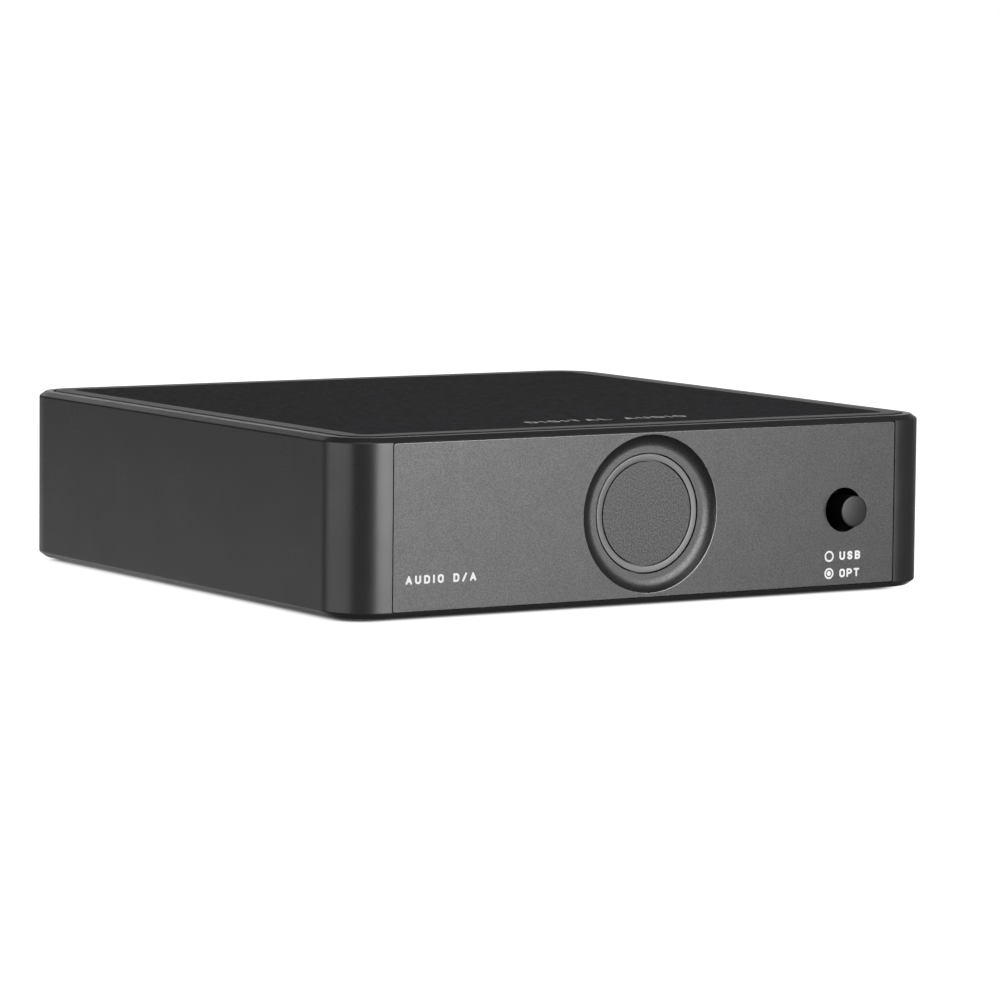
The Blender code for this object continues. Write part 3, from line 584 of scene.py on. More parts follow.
def case():
    soft = 0.28 * MM
    underside, rim = BASE + UNDERSIDE_LIFT, TOP - RIM_DROP
    profile = eased([
        (BASE_CHAMFER[0] + MM, underside, 0),
        (BASE_CHAMFER[0], underside, soft),
        (0, BASE + BASE_CHAMFER[1], soft),
        (0, TOP - TOP_CHAMFER[1], soft),
        (TOP_CHAMFER[0], rim, 0.7 * soft),
        (TOP_CHAMFER[0] + 0.5 * MM, rim, 0),
    ], 5)
    shell = add("case_shell", skin([(outline(inset), level) for inset, level in profile]), CASE)
    far = 5 * MM
    broken = 0.10 * MM
    seat = outline(TOP_CHAMFER[0] + RIM)
    mouth = outline(TOP_CHAMFER[0] + RIM - broken)
    carve(shell, [
        add("inside", skin([(outline(WALL), BASE + FLOOR), (outline(WALL), TOP + far)])),
        add("seat", skin([
            (seat, TOP - COVER - PLAY),
            (seat, rim - broken),
            (mouth, rim),
            (mouth, TOP + far),
        ])),
    ])
    cutters = [add("dish_room", dish_boss(-far, 2 * far, PLAY), None, (0, FRONT, DISH.z), (0, 1, 0))]
    for end, face, inward in (("front", FRONT, 1), ("rear", REAR, -1)):
        outer = face - inward * far
        wide, tight = panel_outline(SEAM + 0.06 * MM), panel_outline(SEAM)
        cutters.append(add(end + "_pocket", skin([
            (wide, outer),
            (wide, face),
            (tight, face + inward * 0.06 * MM),
            (tight, face + inward * (FLANGE + PLAY)),
        ], "XZ")))
        window = [(window_outline(), outer), (window_outline(), face + inward * 2 * far)]
        cutters.append(add(end + "_window", skin(window, "XZ")))
        for side in (-1, 1):
            radius = 2.7 * MM if end == "front" else 1.2 * MM
            spot = (side * FIXING_X, face, FIXING_Z)
            cutters.append(add("fixing", rod(radius, -far, far, SMALL), None, spot, (0, inward, 0)))
    for _, x, y in corner_points(CORNER, CORNER):
        bore = lathe(in_mm([(0, -5), (3.05, -5), (3.05, 2.2), (1.6, 2.2), (1.6, 5), (0, 5)]), SMALL)
        cutters.append(add("screw_bore", bore, None, (x, y, BASE)))
    for _, x, y in corner_points(20 * MM, 21 * MM):
        cutters.append(add("foot_recess", rod(6.3 * MM, BASE - far, BASE + 0.7 * MM), None, (x, y, 0)))
    carve(shell, cutters)
    shell.data.materials.append(RIM_LOOK)
    for face in shell.data.polygons:
        if face.center.z > rim - 0.12 * MM and face.normal.z > 0.9:
            face.material_index = len(shell.data.materials) - 1
    keep(even_normals(shell), "case_paint", "body_shell")


def cover():
    edge = TOP_CHAMFER[0] + RIM + GROOVE
    bevel = 0.2 * MM
    field = edge + bevel + COVER_BORDER
    border = TOP + BORDER_LIFT
    top = COVER_TOP - 0.014 * MM
    profile = eased([
        (edge, TOP - COVER, 0),
        (edge, border - bevel, 0.04 * MM),
        (edge + bevel, border, 0.04 * MM),
        (field, border, 0.08 * MM),
        (field + FIELD_SLOPE, top, 0.12 * MM),
        (field + FIELD_SLOPE + 0.4 * MM, top, 0),
    ], 4)
    plate = add("cover_plate", skin([(outline(inset), level) for inset, level in profile]), BORDER)
    plate.data.materials.append(FIELD)
    for face in plate.data.polygons:
        middle = face.center
        inner = abs(middle.x) < WIDTH / 2 - field and abs(middle.y - MIDDLE_Y) < DEPTH / 2 - field
        if inner and middle.z > (border + top) / 2:
            face.material_index = 1
    keep(even_normals(plate), "cover_paint", "top_cover")


def dish_profile():
    """From the panel's face, over a small round edge and down a concave wall to the dish's floor."""
    reach = math.acos(1 - (DISH_DEPTH - DISH_EDGE) / DISH_SWEEP)
    foot = DISH_RADIUS - DISH_SWEEP * math.sin(reach)
    lip = DISH_EDGE / math.tan(reach)
    round_off = DISH_EDGE / math.sin(reach)
    points = [(DISH_RADIUS + lip + round_off, -MM)]
    points += eased([
        (DISH_RADIUS + lip + 2 * round_off, 0, 0),
        (DISH_RADIUS + lip, 0, round_off),
        (DISH_RADIUS - lip, 2 * DISH_EDGE, 0),
    ], 6)[1:-1]
    for step in range(1, 29):
        angle = reach * (1 - step / 28)
        depth = DISH_DEPTH - DISH_SWEEP * (1 - math.cos(angle))
        points.append((foot + DISH_SWEEP * math.sin(angle), depth))
    return points


def panel(name, face, inward, look):
    """A panel's flange with its edges eased, and the block behind it that fills the window."""
    edge = 0.10 * MM
    return add(name, skin([
        (panel_outline(-edge), face),
        (panel_outline(-0.3 * edge), face + inward * 0.3 * edge),
        (panel_outline(), face + inward * edge),
        (panel_outline(), face + inward * FLANGE),
        (window_outline(PLAY), face + inward * FLANGE),
        (window_outline(PLAY), face + inward * PANEL_THICK),
    ], "XZ"), look)


def front_plate():
    plate = panel("front_plate", FRONT, 1, PANEL)
    centre = (0, FRONT, DISH.z)
    inward = (0, 1, 0)
    backing = add("dish_backing", dish_boss(FLANGE / 2, PANEL_THICK), PANEL, centre, inward)
    carve(plate, [backing], "UNION")
    seat = DIAL_SETBACK + DIAL_THICK + PLAY
    dish = add("dish", lathe([
        (0, -MM),
        *dish_profile(),
        (DIAL_RADIUS + DIAL_GAP, DISH_DEPTH),
        (DIAL_RADIUS + DIAL_GAP, seat),
        (0, seat),
    ], SMOOTH), PANEL, centre, inward)
    broken = 0.08 * MM
    # The hole's cutter hands its black plastic to the hole's wall in the metal panel: painted shade
    # inside the hole.
    hole = add("hole", lathe([
        (0, -MM),
        (BUTTON_HOLE + broken, -MM),
        (BUTTON_HOLE + broken, 0),
        (BUTTON_HOLE, broken),
        (BUTTON_HOLE, PANEL_THICK + MM),
        (0, PANEL_THICK + MM),
    ]), BLACK, (BUTTON.x, FRONT, BUTTON.z), inward)
    carve(plate, [dish, hole])
    plate.data.materials.append(LIP)
    lip = len(plate.data.materials) - 1
    for face in plate.data.polygons:
        reach = math.hypot(face.center.x, face.center.z - DISH.z)
        depth = face.center.y - FRONT
        if DISH_RADIUS < reach < DISH_RADIUS + MM and 0.002 * MM < depth < 2 * DISH_EDGE:
            face.material_index = lip
    keep(even_normals(plate), "front_metal", "front_panel")


def dial():
    face = FRONT + DIAL_SETBACK
    soft = 0.14 * MM
    inward = (0, 1, 0)
    ring = add("dial_ring", lathe(eased([
        (0, INLAY_THICK + PLAY, 0),
        (INLAY_RADIUS + INLAY_GAP, INLAY_THICK + PLAY, 0),
        (INLAY_RADIUS + INLAY_GAP, 0, 0.5 * soft),
        (DIAL_RADIUS, 0, soft),
        (DIAL_RADIUS, DIAL_THICK, 0),
        (0, DIAL_THICK, 0),
    ]), SMOOTH), RING, (0, face, DISH.z), inward)
    keep(even_normals(ring), "dial_metal", "dial_blank")
    disc = add("dial_disc", lathe(eased([
        (0, 0, 0),
        (INLAY_RADIUS, 0, 0.5 * soft),
        (INLAY_RADIUS, INLAY_THICK, 0),
        (0, INLAY_THICK, 0),
    ]), SMOOTH), INLAY, (0, face, DISH.z), inward)
    keep(even_normals(disc), "inlay_metal", "dial_inlay")


def button():
    low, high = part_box("input_button")
    length = high.y - low.y
    dome = [(share * BUTTON_RADIUS, share * share * BUTTON_DOME, 0) for share in (0, 0.2, 0.4, 0.6, 0.8)]
    cap = add("button_cap", lathe(eased(dome + [
        (BUTTON_RADIUS, BUTTON_DOME, 0.24 * MM),
        (BUTTON_RADIUS, length, 0.1 * MM),
        (2.2 * MM, length, 0),
        (2.2 * MM, 4.2 * MM, 0),
        (0, 4.2 * MM, 0),
    ], 6), ROUND), BUTTON_LOOK, (BUTTON.x, low.y, BUTTON.z), (0, 1, 0))
    # Faces more than 0.35 mm back from the button's face take the near-black side: painted shade within
    # the hole.
    cap.data.materials.append(SHADED_BUTTON_SIDE)
    for face in cap.data.polygons:
        if face.center.z > 0.35 * MM:
            face.material_index = 1
    keep(even_normals(cap), "button_metal", "input_button", body="input_button")


def feet():
    for corner, x, y in corner_points(20 * MM, 21 * MM):
        node = "foot_" + corner
        low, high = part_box(node)
        foot = add(node + "_pad", lathe(eased([
            (0, high.z, 0),
            (6 * MM, high.z, 0),
            (6 * MM, 0, 0.35 * MM),
            (5.0 * MM, 0, 0.10 * MM),
            (4.8 * MM, 0.12 * MM, 0.10 * MM),
            (0, 0.12 * MM, 0),
        ], 4)), RUBBER, (x, y, 0))
        keep(foot, "rubber", node)


def fine_screw(node, axis, head, shank, look, slot):
    """A socket-head screw with a true hexagon, over the frame's plainer one."""
    low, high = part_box(node)
    along = Vector(axis)
    length = sum(abs(share) * size for share, size in zip(along, high - low))
    start = (low + high) / 2 - along * length / 2
    radius, height = head
    body = add(node + "_fine", lathe(eased([
        (0, 0, 0),
        (radius, 0, 0.18 * radius),
        (radius, height, 0.05 * radius),
        (shank, height, 0),
        (shank, length, 0.2 * MM),
        (0, length, 0),
    ], 4), SMALL), look, start, axis)
    key = add("key", lathe([
        (0, -MM),
        (0.56 * radius, -MM),
        (0.56 * radius, 0),
        (0.50 * radius, 0.06 * radius),
        (0.50 * radius, 0.6 * height),
        (0, 0.75 * height),
    ], 6), look, start, axis)
    carve(body, [key])
    keep(body, slot, node)


def screws():
    for corner in ("front_left", "front_right", "rear_left", "rear_right"):
        fine_screw("case_screw_" + corner, (0, 0, 1), (2.75 * MM, 1.8 * MM), 1.3 * MM, STEEL, "steel")
        fine_screw("board_screw_" + corner, (0, 0, -1), (2.4 * MM, 1.5 * MM), 1.0 * MM, STEEL, "steel")
    for side in ("left", "right"):
        head, shank = (2.3 * MM, 1.4 * MM), 0.9 * MM
        fine_screw("front_panel_screw_" + side, (0, -1, 0), head, shank, STEEL, "steel")
        fine_screw("rear_panel_screw_" + side, (0, -1, 0), head, shank, DARK_STEEL, "black_plastic")


case()
cover()
front_plate()
dial()
button()
feet()
screws()


# ---------------------------------------------------------------- rear panel and sockets

POWER_LOW, POWER_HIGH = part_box("power_jack")
USB_LOW, USB_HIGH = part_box("usb_shell")
OPTICAL_LOW, OPTICAL_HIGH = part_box("optical_receiver")
PHONO = {side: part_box("phono_barrel_" + side) for side in ("left", "right")}


def box_outline(low, high, radius, grow=0.0, steps=6):
    centre = ((low.x + high.x) / 2, (low.z + high.z) / 2)
    return rounded(high.x - low.x + 2 * grow, high.z - low.z + 2 * grow, radius, steps, centre)


def eased_box(name, low, high, radius, edge, look):
    """A box with round long edges and softened ends, lying along Y."""
    near, far = [], []
    for step in range(4):
        angle = step / 3 * math.pi / 2
        ring = box_outline(low, high, radius, -edge * (1 - math.sin(angle)))
        level = edge * (1 - math.cos(angle))
        near.append((ring, low.y + level))
        far.append((ring, high.y - level))
    return add(name, skin(near + far[::-1], "XZ"), look)


def rear_plate():
    plate = panel("rear_plate", REAR, -1, CASE)
    broken = 0.08 * MM
    cutters = []
    for name, (low, high) in {
        "power": (POWER_LOW, POWER_HIGH),
        "usb": (USB_LOW, USB_HIGH),
        "optical": (OPTICAL_LOW, OPTICAL_HIGH),
    }.items():
        wide = box_outline(low, high, 0.6 * MM, PLAY + broken)
        tight = box_outline(low, high, 0.6 * MM, PLAY)
        cutters.append(add(name + "_cutout", skin([
            (wide, REAR + MM),
            (wide, REAR),
            (tight, REAR - broken),
            (tight, REAR - 2 * PANEL_THICK),
        ], "XZ"), CASE))
    holes = [((low + high) / 2, 4.45 * MM, ROUND) for low, high in PHONO.values()]
    holes += [(Vector((side * FIXING_X, 0, FIXING_Z)), 1.2 * MM, SMALL) for side in (-1, 1)]
    for spot, radius, steps in holes:
        hole = rod(radius, -2 * PANEL_THICK, MM, steps)
        cutters.append(add("hole", hole, CASE, (spot.x, REAR, spot.z), (0, 1, 0)))
    carve(plate, cutters)
    keep(even_normals(plate), "case_paint", "rear_panel")


def power_socket():
    middle = middle_of("power_jack")
    mouth, inward = (middle.x, POWER_HIGH.y, middle.z), (0, -1, 0)
    body = eased_box("power_socket", POWER_LOW, POWER_HIGH, 0.5 * MM, 0.25 * MM, BLACK)
    bore = add("bore", lathe(eased(in_mm([
        (0, -1, 0),
        (3.6, -1, 0),
        (3.6, 0, 0),
        (3.2, 0.4, 0.1),
        (3.2, 9.5, 0),
        (0, 9.5, 0),
    ]))), BLACK, mouth, inward)
    carve(body, [bore])
    keep(even_normals(body), "black_plastic", "power_jack")
    pin = eased(in_mm([(0, 0.8, 0), (1.05, 0.8, 0.55), (1.05, 9.2, 0), (0, 9.2, 0)]), 6)
    pin = add("power_pin", lathe(pin, SMALL), NICKEL, mouth, inward)
    keep(pin, "socket_metal", "power_jack_pin")
    liner = lathe(in_mm([(3.18, 3.0), (3.18, 9.2), (3.02, 9.2), (3.02, 3.1)]))
    liner = add("power_liner", liner, NICKEL, mouth, inward)
    keep(liner, "socket_metal")


def mouth_outline(width, height, x, z, cut):
    """The squarish opening with its two upper corners cut off."""
    left, right = x - width / 2, x + width / 2
    low, high = z - height / 2, z + height / 2
    upper = [(right, high - cut), (right - cut, high), (left + cut, high), (left, high - cut)]
    return [(left, low), (right, low), *upper]


def usb_socket():
    face = USB_HIGH.y
    x, _, z = middle_of("usb_shell")
    shell = eased_box("usb_housing", USB_LOW, USB_HIGH, 0.7 * MM, 0.30 * MM, NICKEL)
    flare = 0.25 * MM
    wide = mouth_outline(8.6 * MM + 2 * flare, 7.9 * MM + 2 * flare, x, z, 1.7 * MM)
    tight = mouth_outline(8.6 * MM, 7.9 * MM, x, z, 1.6 * MM)
    mouth = add("mouth", skin([
        (wide, face + MM),
        (wide, face),
        (tight, face - flare),
        (tight, face - 9.5 * MM),
    ], "XZ"), BLACK)
    carve(shell, [mouth])
    keep(even_normals(shell), "socket_metal", "usb_shell")
    low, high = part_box("usb_tongue")
    tongue = eased_box("usb_core", low, high, 0.35 * MM, 0.25 * MM, BLACK)
    keep(tongue, "black_plastic", "usb_tongue")
    contacts = bmesh.new()
    for side, level in ((-1, low.z), (1, high.z)):
        for across in (-1, 1):
            centre = Vector((x + across * 1.25 * MM, (low.y + high.y) / 2 + 0.5 * MM, level))
            size = Matrix.Diagonal((0.9 * MM, high.y - low.y - 2.2 * MM, 0.16 * MM, 1))
            bmesh.ops.create_cube(contacts, size=1, matrix=Matrix.Translation(centre) @ size)
    bmesh.ops.bevel(contacts, geom=contacts.edges[:], offset=0.05 * MM, segments=2, affect="EDGES")
    keep(add("usb_contacts", contacts, GOLD), "gold_plate")


def optical_socket():
    face = OPTICAL_HIGH.y
    x, _, z = middle_of("optical_receiver")
    body = eased_box("optical_housing", OPTICAL_LOW, OPTICAL_HIGH, 0.6 * MM, 0.25 * MM, BLACK)
    flare = 0.2 * MM
    wide = rounded(6.2 * MM + 2 * flare, 6.6 * MM + 2 * flare, 0.7 * MM, 6, (x, z))
    tight = rounded(6.2 * MM, 6.6 * MM, 0.5 * MM, 6, (x, z))
    mouth = add("mouth", skin([
        (wide, face + MM),
        (wide, face),
        (tight, face - flare),
        (tight, face - 8.6 * MM),
    ], "XZ"), BLACK)
    carve(body, [mouth])
    keep(even_normals(body), "black_plastic", "optical_receiver")
    low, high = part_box("optical_shutter")
    flap = eased_box("shutter_flap", low, high, 0.30 * MM, 0.18 * MM, BLACK)
    slot = rounded(3.4 * MM, 0.5 * MM, 0.24 * MM, 6, (x, low.z + 1.3 * MM))
    groove = skin([(slot, high.y + MM), (slot, high.y - 0.18 * MM)], "XZ")
    carve(flap, [add("groove", groove, BLACK)])
    keep(even_normals(flap), "black_plastic", "optical_shutter", body="optical_shutter")


def phono_sockets():
    out = (0, 1, 0)
    for side, (low, high) in PHONO.items():
        middle = (low + high) / 2
        place = (middle.x, REAR, middle.z)
        look, slot = (WHITE, "white_plastic") if side == "left" else (RED, "red_plastic")
        reach, tail = (high.y - REAR) / MM, (low.y - REAR) / MM
        mouth = reach - 0.6
        barrel = add("phono_shell_" + side, lathe(eased(in_mm([
            (3.4, tail, 0),
            (4.15, tail, 0),
            (4.15, 2.3, 0.05),
            (3.97, 2.5, 0.05),
            (3.97, 2.9, 0.05),
            (4.15, 3.1, 0.05),
            (4.15, reach, 0.35),
            (3.4, reach, 0.25),
            (3.4, tail + 0.2, 0),
        ]), 5), SMOOTH), NICKEL, place, out)
        keep(barrel, "socket_metal", "phono_barrel_" + side)
        collar = add("phono_ring_" + side, lathe(eased(in_mm([
            (4.45, 0.05, 0),
            (6.3, 0.05, 0),
            (6.3, 1.5, 0.35),
            (4.45, 1.5, 0.15),
            (4.45, 0.2, 0),
        ]), 5), SMOOTH), look, place, out)
        keep(collar, slot, "phono_collar_" + side)
        core = add("phono_plug_" + side, lathe(eased(in_mm([
            (0, tail, 0),
            (3.1, tail, 0),
            (3.1, mouth, 0.25),
            (2.7, mouth, 0.10),
            (2.35, mouth - 0.5, 0.10),
            (2.35, -3.7, 0),
            (0, -3.7, 0),
        ]))), look, place, out)
        keep(core, slot, "phono_core_" + side)
        contact = add("phono_centre_" + side, lathe(eased(in_mm([
            (0, -3.4, 0),
            (2.05, -3.4, 0),
            (2.05, mouth - 0.8, 0.18),
            (1.65, mouth - 0.8, 0.12),
            (1.65, -3.1, 0),
            (0, -3.1, 0),
        ])), SMALL), GOLD, place, out)
        slots = []
        for turn in (0, 1):
            slit = bmesh.new()
            size = Matrix.Diagonal((6 * MM, 0.35 * MM, 5 * MM, 1))
            spin = Matrix.Rotation(turn * math.pi / 2, 4, "Z")
            lift = Matrix.Translation((0, 0, mouth * MM))
            bmesh.ops.create_cube(slit, size=1, matrix=lift @ spin @ size)
            slots.append(add("slit", slit, GOLD, place, out))
        carve(contact, slots)
        keep(contact, "gold_plate", "phono_contact_" + side)


rear_plate()
power_socket()
usb_socket()
optical_socket()
phono_sockets()


# ---------------------------------------------------------------- spring and inner parts

def spring():
    """The return spring, built as a fixed coil; in the device it closes up as the button goes in."""
    low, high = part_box("switch_spring")
    wire, turns, per_turn, sides = 0.3 * MM, 4, 36, 12
    radius = (high.x - low.x) / 2 - wire
    shape = bmesh.new()
    rings = []
    count = turns * per_turn
    for step in range(count + 1):
        angle = step / per_turn * math.tau
        level = wire + (high.y - low.y - 2 * wire) * step / count
        ring = []
        for side in range(sides):
            around = side / sides * math.tau
            reach = radius + wire * math.cos(around)
            ring.append(shape.verts.new((
                BUTTON.x + reach * math.cos(angle),
                low.y + level + wire * math.sin(around),
                BUTTON.z + reach * math.sin(angle),
            )))
        rings.append(ring)
    wrap(shape, rings)
    coil = add("return_spring", shape, STEEL)
    keep(coil, "steel", "switch_spring")
    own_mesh(coil)


INNER_LOOKS = (
    (BOARD, ["main_board"]),
    (BLACK, ["switch_body", "switch_plunger", "phono_housing"]),
    (SLEEVE, ["supply_capacitor_%d" % number for number in (1, 2, 3, 4)]),
    (CHIP, ["voltage_regulator_1", "voltage_regulator_2", "supply_choke", "usb_bridge_chip"]),
    (CHIP, ["optical_decoder_chip", "converter_chip", "output_amplifier_left", "output_amplifier_right"]),
    (CLOCK, ["master_clock"]),
    (WHITE, ["output_relay"]),
    (FILM, ["filter_capacitor_left", "filter_capacitor_right"]),
)


def dress_inner_parts():
    for look, names in INNER_LOOKS:
        for name in names:
            mesh = NODES[name].data
            mesh.materials.clear()
            mesh.materials.append(look)


spring()
dress_inner_parts()


# ---------------------------------------------------------------- printed legends

def arc(centre, radius, start, end, steps=10):
    """Points along part of a circle, from one angle to another in degrees."""
    points = []
    for step in range(steps + 1):
        angle = math.radians(start + (end - start) * step / steps)
        points.append((centre[0] + radius * math.cos(angle), centre[1] + radius * math.sin(angle)))
    return points


# Single-line letters one unit high: their width and strokes
LETTERS = {
    "A": (0.62, [[(0, 0), (0.31, 1)], [(0.31, 1), (0.62, 0)], [(0.11, 0.32), (0.51, 0.32)]]),
    "B": (0.54, [
        [(0, 0), (0, 1)],
        [(0, 1), *arc((0.27, 0.76), 0.24, 90, -90), (0, 0.52)],
        [(0, 0.52), *arc((0.28, 0.26), 0.26, 90, -90), (0, 0)],
    ]),
    "C": (0.54, [[*arc((0.27, 0.73), 0.27, 15, 180), *arc((0.27, 0.27), 0.27, 180, 345)]]),
    "D": (0.56, [
        [(0, 0), (0, 1)],
        [(0, 1), *arc((0.26, 0.70), 0.30, 90, 0), *arc((0.26, 0.30), 0.30, 0, -90), (0, 0)],
    ]),
    "G": (0.56, [
        [*arc((0.28, 0.72), 0.28, 15, 180), *arc((0.28, 0.28), 0.28, 180, 360), (0.56, 0.48)],
        [(0.56, 0.48), (0.32, 0.48)],
    ]),
    "I": (0.0, [[(0, 0), (0, 1)]]),
    "L": (0.46, [[(0, 1), (0, 0)], [(0, 0), (0.46, 0)]]),
    "O": (0.56, [[*arc((0.28, 0.72), 0.28, 0, 180), *arc((0.28, 0.28), 0.28, 180, 360), (0.56, 0.72)]]),
    "P": (0.54, [[(0, 0), (0, 1)], [(0, 1), *arc((0.26, 0.72), 0.28, 90, -90), (0, 0.44)]]),
    "R": (0.56, [
        [(0, 0), (0, 1)],
        [(0, 1), *arc((0.26, 0.72), 0.28, 90, -90), (0, 0.44)],
        [(0.28, 0.44), (0.56, 0)],
    ]),
    "S": (0.54, [[*arc((0.27, 0.75), 0.25, 15, 270), *arc((0.27, 0.25), 0.25, 90, -165)]]),
    "T": (0.56, [[(0, 1), (0.56, 1)], [(0.28, 1), (0.28, 0)]]),
    "U": (0.56, [[(0, 1), *arc((0.28, 0.28), 0.28, 180, 360), (0.56, 1)]]),
    "/": (0.40, [[(0, -0.04), (0.40, 1.04)]]),
}


def stroke(shape, path, half, place):
    """A ribbon along a path, as flat faces: a loop if the path closes, or else with round ends."""
    path = [Vector(p) for p in path]
    loop = (path[0] - path[-1]).length < 0.01 * half
    if loop:
        path.pop()
    sides = []
    for i, point in enumerate(path):
        before = (point - path[i - 1]).normalized() if i or loop else (path[1] - point).normalized()
        after = (path[(i + 1) % len(path)] - point).normalized() if i < len(path) - 1 or loop else before
        along = (before + after).normalized()
        square = Vector((-along.y, along.x)) * half / max(0.5, along.dot(after))
        sides.append((shape.verts.new(place(point + square)), shape.verts.new(place(point - square))))
    for (a, b), (c, d) in zip(sides, sides[1:] + (sides[:1] if loop else [])):
        shape.faces.new((a, b, d, c))
    for end, inner in () if loop else ((0, 1), (-1, -2)):
        away = (path[end] - path[inner]).normalized()
        start = math.atan2(away.y, away.x) - math.pi / 2
        fan = []
        for step in range(9):
            turn = start + step / 8 * math.pi
            spot = path[end] + half * Vector((math.cos(turn), math.sin(turn)))
            fan.append(shape.verts.new(place(spot)))
        shape.faces.new(fan)


def legend(name, text, left, right, level, cap, half, place, look, slot):
    """A line of letters spread evenly between two marks; `place` turns (u, v) into a point."""
    widths = [LETTERS[c][0] * cap if c != " " else 0.25 * cap for c in text]
    gap = (right - left - 2 * half - sum(widths)) / (len(text) - 1) if len(text) > 1 else 0
    shape = bmesh.new()
    u = left + half
    low, tall = level + half, cap - 2 * half
    for letter, width in zip(text, widths):
        for layer, path in enumerate([] if letter == " " else LETTERS[letter][1]):
            points = [(u + p[0] * cap, low + p[1] * tall) for p in path]
            stroke(shape, points, half, lambda point, layer=layer: place(point, layer * INK_LAYER))
        u += width + gap
    sheet = add(name, shape, look)
    face_along(sheet, place)
    keep(sheet, slot)


def face_along(sheet, place):
    """Turn every face of a flat print the way that its surface looks."""
    origin = Vector(place(Vector((0, 0))))
    across = Vector(place(Vector((1, 0)))) - origin
    up = Vector(place(Vector((0, 1)))) - origin
    outward = across.cross(up)
    shape = bmesh.new()
    shape.from_mesh(sheet.data)
    for face in shape.faces:
        if face.normal.dot(outward) < 0:
            face.normal_flip()
    shape.to_mesh(sheet.data)
    shape.free()


def circle_marks():
    """An open circle and a dotted one: which input is chosen with the button out and in."""
    shape = bmesh.new()

    def circle(radius, height, steps):
        return [
            shape.verts.new(on_front((
                MARK_X + radius * math.cos(step / steps * math.tau),
                height + radius * math.sin(step / steps * math.tau),
            )))
            for step in range(steps)
        ]

    for height, dotted in ((BASE + 7.46 * MM, False), (BASE + 3.96 * MM, True)):
        inner, outer = circle(MARK_INNER, height, 64), circle(MARK_OUTER, height, 64)
        for i in range(64):
            j = (i + 1) % 64
            shape.faces.new((inner[i], inner[j], outer[j], outer[i]))
        if dotted:
            shape.faces.new(circle(MARK_DOT, height, 32))
    marks = add("input_marks", shape, INK)
    face_along(marks, on_front)
    keep(marks, "white_plastic")


PRINT = 0.012 * MM
INK_LAYER = 0.002 * MM
MARK_X = 43.52 * MM
MARK_INNER, MARK_OUTER, MARK_DOT = 0.77 * MM, 1.13 * MM, 0.51 * MM


def on_front(point, lift=0.0):
    return (point[0], FRONT - PRINT - lift, point[1])


def on_rear(point, lift=0.0):
    return (-point[0], REAR + PRINT + lift, point[1])


def on_top(point, lift=0.0):
    return (point[0], FRONT + point[1], COVER_TOP - 3 * INK_LAYER + lift)


def legends():
    """The printed lines, each with its text, its two ends, its level and its height."""
    half = 0.21 * MM
    for name, text, left, right, level, cap in (
        ("legend_name", "AUDIO D/A", -56.6, -40.55, 6.84, 1.70),
        ("legend_upper", "USB", 46.05, 51.25, 6.58, 1.77),
        ("legend_lower", "OPT", 46.09, 51.05, 3.02, 1.77),
    ):
        ends = (left * MM, right * MM, BASE + level * MM)
        legend(name, text, *ends, cap * MM, half, on_front, INK, "white_plastic")
    circle_marks()
    ends = (-18.5 * MM, 19.2 * MM, 15.6 * MM)
    legend("legend_top", "DIGITAL AUDIO", *ends, 3.2 * MM, 0.30 * MM, on_top, SILVER, "socket_metal")
    rear = BASE + 29.6 * MM
    for name, text, node, half_width in (
        ("legend_power", "DC", "power_jack", 1.9),
        ("legend_usb", "USB", "usb_shell", 2.8),
        ("legend_optical", "OPT", "optical_receiver", 2.8),
        ("legend_left", "L", "phono_barrel_left", 0.6),
        ("legend_right", "R", "phono_barrel_right", 0.7),
    ):
        middle = -middle_of(node).x
        ends = (middle - half_width * MM, middle + half_width * MM, rear)
        legend(name, text, *ends, 1.70 * MM, half, on_rear, INK, "white_plastic")


legends()


# ---------------------------------------------------------------- floor, light and camera

CENTRE = Vector((0, MIDDLE_Y, BASE))


def floor():
    """A pale glowing disc, with a painted shadow that darkens its glow under the case and up to its edge.
    """
    shape = bmesh.new()
    bmesh.ops.create_circle(shape, cap_ends=True, radius=8, segments=64)
    look = Look("floor", (0.92, 0.92, 0.92), 0.9)
    parts = look.node("ShaderNodeSeparateXYZ")
    look.link(look.where(), parts.inputs["Vector"])
    x, y = parts.outputs["X"], parts.outputs["Y"]
    across = look.sum(look.sum(x, 0.0, "ABSOLUTE"), CORNER - WIDTH / 2)
    along = look.sum(look.sum(y, 0.0, "ABSOLUTE"), CORNER - DEPTH / 2)
    corner = look.reach(look.sum(across, 0.0, "MAXIMUM"), look.sum(along, 0.0, "MAXIMUM"))
    within = look.sum(look.sum(across, along, "MAXIMUM"), 0.0, "MINIMUM")
    outside = look.sum(look.sum(look.sum(corner, 0.5, "POWER"), within), -CORNER)
    # Painted shadow: the glow falls to 3% from 6.3 mm inside the case's outline and is full from 1.9 mm
    # inside it.
    painted_shadow = look.span(outside, 0.03, 1.0, -6.3 * MM, -1.9 * MM)
    painted_shadow.node.interpolation_type = "SMOOTHSTEP"
    # The glow is 0.96 within about 14 cm of the centre and rises to full by about 39 cm.
    away = look.span(look.reach(x, y), 0.96, 1.0, 0.02, 0.15)
    look.link(look.sum(away, painted_shadow, "MULTIPLY"), look.shader.inputs["Emission Strength"])
    fill(look.shader, {"Emission Color": (1, 1, 1, 1)})
    plane = add("floor", shape, look.material)
    plane.visible_glossy = plane.visible_diffuse = plane.visible_shadow = False


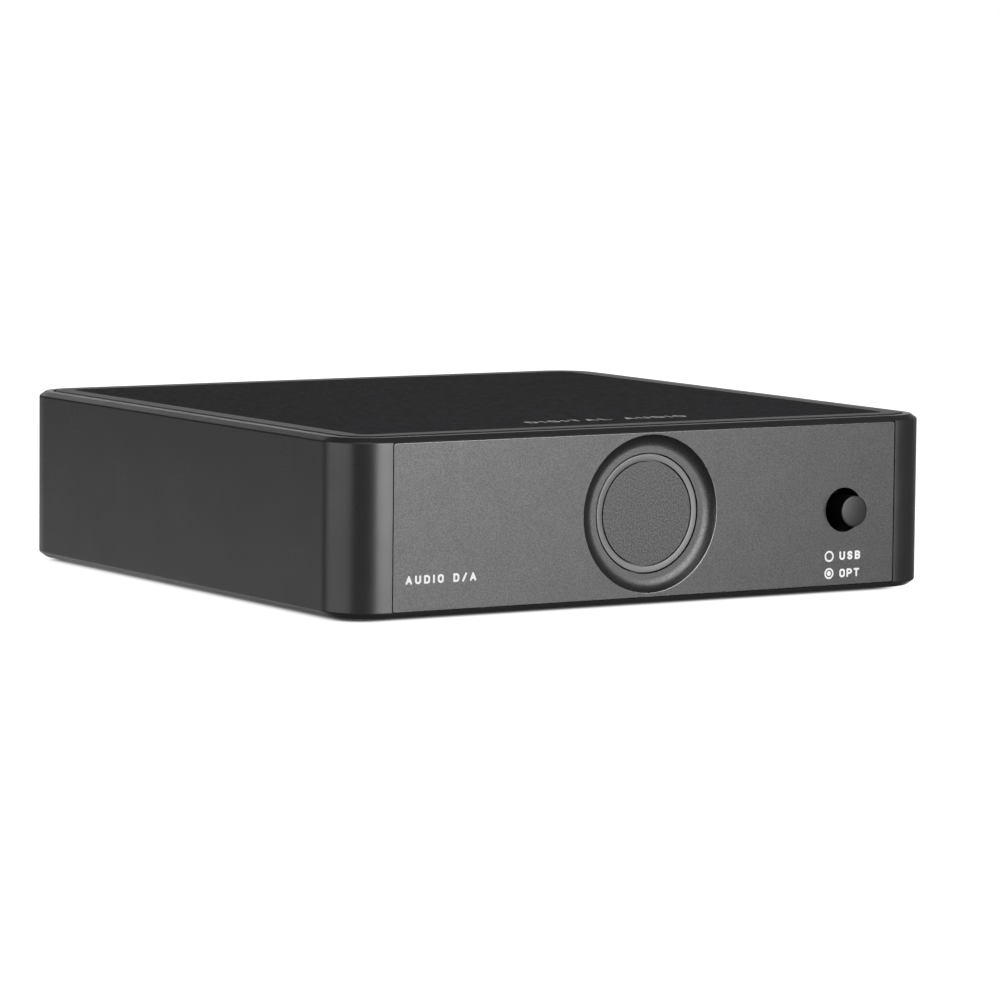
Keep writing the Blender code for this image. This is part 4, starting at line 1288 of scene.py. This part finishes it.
def softbox(name, azimuth, elevation, distance, width, height, brightness, aim=0.02):
    """A rectangle of even light that faces the part, as bright as a mirror would show it."""
    turn, rise = math.radians(azimuth), math.radians(elevation)
    level = math.cos(rise)
    direction = Vector((math.cos(turn) * level, math.sin(turn) * level, math.sin(rise)))
    data = bpy.data.lights.new(name, "AREA")
    data.shape = "RECTANGLE"
    data.size, data.size_y = width, height
    data.energy = brightness * math.pi * width * height
    lamp = bpy.data.objects.new(name, data)
    SCENE.collection.objects.link(lamp)
    lamp.location = Vector((0, 0, aim)) + direction * distance
    lamp.rotation_euler = direction.to_track_quat("Z", "Y").to_euler()
    lamp.visible_camera = False
    return lamp


LIGHTS = (
    # name, azimuth and elevation, distance, width and height, brightness
    ("overhead", 235, 51, 1.5, 0.73, 1.65, 0.63),
    ("front_right", 282, 10.5, 0.9, 0.68, 0.65, 4.7),
    ("left", 178, 4, 1.4, 1.67, 0.81, 1.1),
    ("back_strip", 73, 23, 1.4, 1.27, 0.30, 0.9),
    ("right", 30, 7.5, 1.5, 0.87, 0.80, 0.19),
    ("back_left", 109, -11.4, 1.5, 1.29, 0.40, 0.44),
    ("back_glow", 100, -27, 1.4, 0.68, 0.82, 0.72),
    ("horizon", 58, 5.5, 1.4, 0.95, 0.18, 0.55),
    ("rear_fill", 55, -16, 1.4, 1.1, 0.5, 0.6),
)


def world():
    """White behind the part, and a dim grey for everything else."""
    made = bpy.data.worlds.new("studio")
    SCENE.world = made
    made.use_nodes = True
    tree = made.node_tree
    tree.nodes.clear()
    seen = fill(tree.nodes.new("ShaderNodeBackground"), {"Color": (1, 1, 1, 1)})
    lit = fill(tree.nodes.new("ShaderNodeBackground"), {"Color": (0.065, 0.065, 0.065, 1)})
    path = tree.nodes.new("ShaderNodeLightPath")
    mix = tree.nodes.new("ShaderNodeMixShader")
    out = tree.nodes.new("ShaderNodeOutputWorld")
    tree.links.new(path.outputs["Is Camera Ray"], mix.inputs["Fac"])
    tree.links.new(lit.outputs["Background"], mix.inputs[1])
    tree.links.new(seen.outputs["Background"], mix.inputs[2])
    tree.links.new(mix.outputs["Shader"], out.inputs["Surface"])


def camera():
    """The photograph's viewpoint, about a metre off and a little above the part."""
    data = bpy.data.cameras.new("camera")
    data.lens = 195.85
    data.sensor_width = 36
    data.clip_start = 0.01
    eye = bpy.data.objects.new("camera", data)
    SCENE.collection.objects.link(eye)
    turn = Matrix.Rotation(math.radians(-31.845), 4, "Z")
    tilt = Matrix.Rotation(math.radians(90 - 5.637), 4, "X")
    roll = Matrix.Rotation(math.radians(0.558), 4, "Z")
    place = Matrix.Translation(CENTRE + Vector((-0.592807, -0.966212, 0.126710)))
    eye.matrix_world = place @ turn @ tilt @ roll
    SCENE.camera = eye


floor()
for settings in LIGHTS:
    softbox(*settings)
world()
camera()
SCENE.view_settings.view_transform = "Standard"
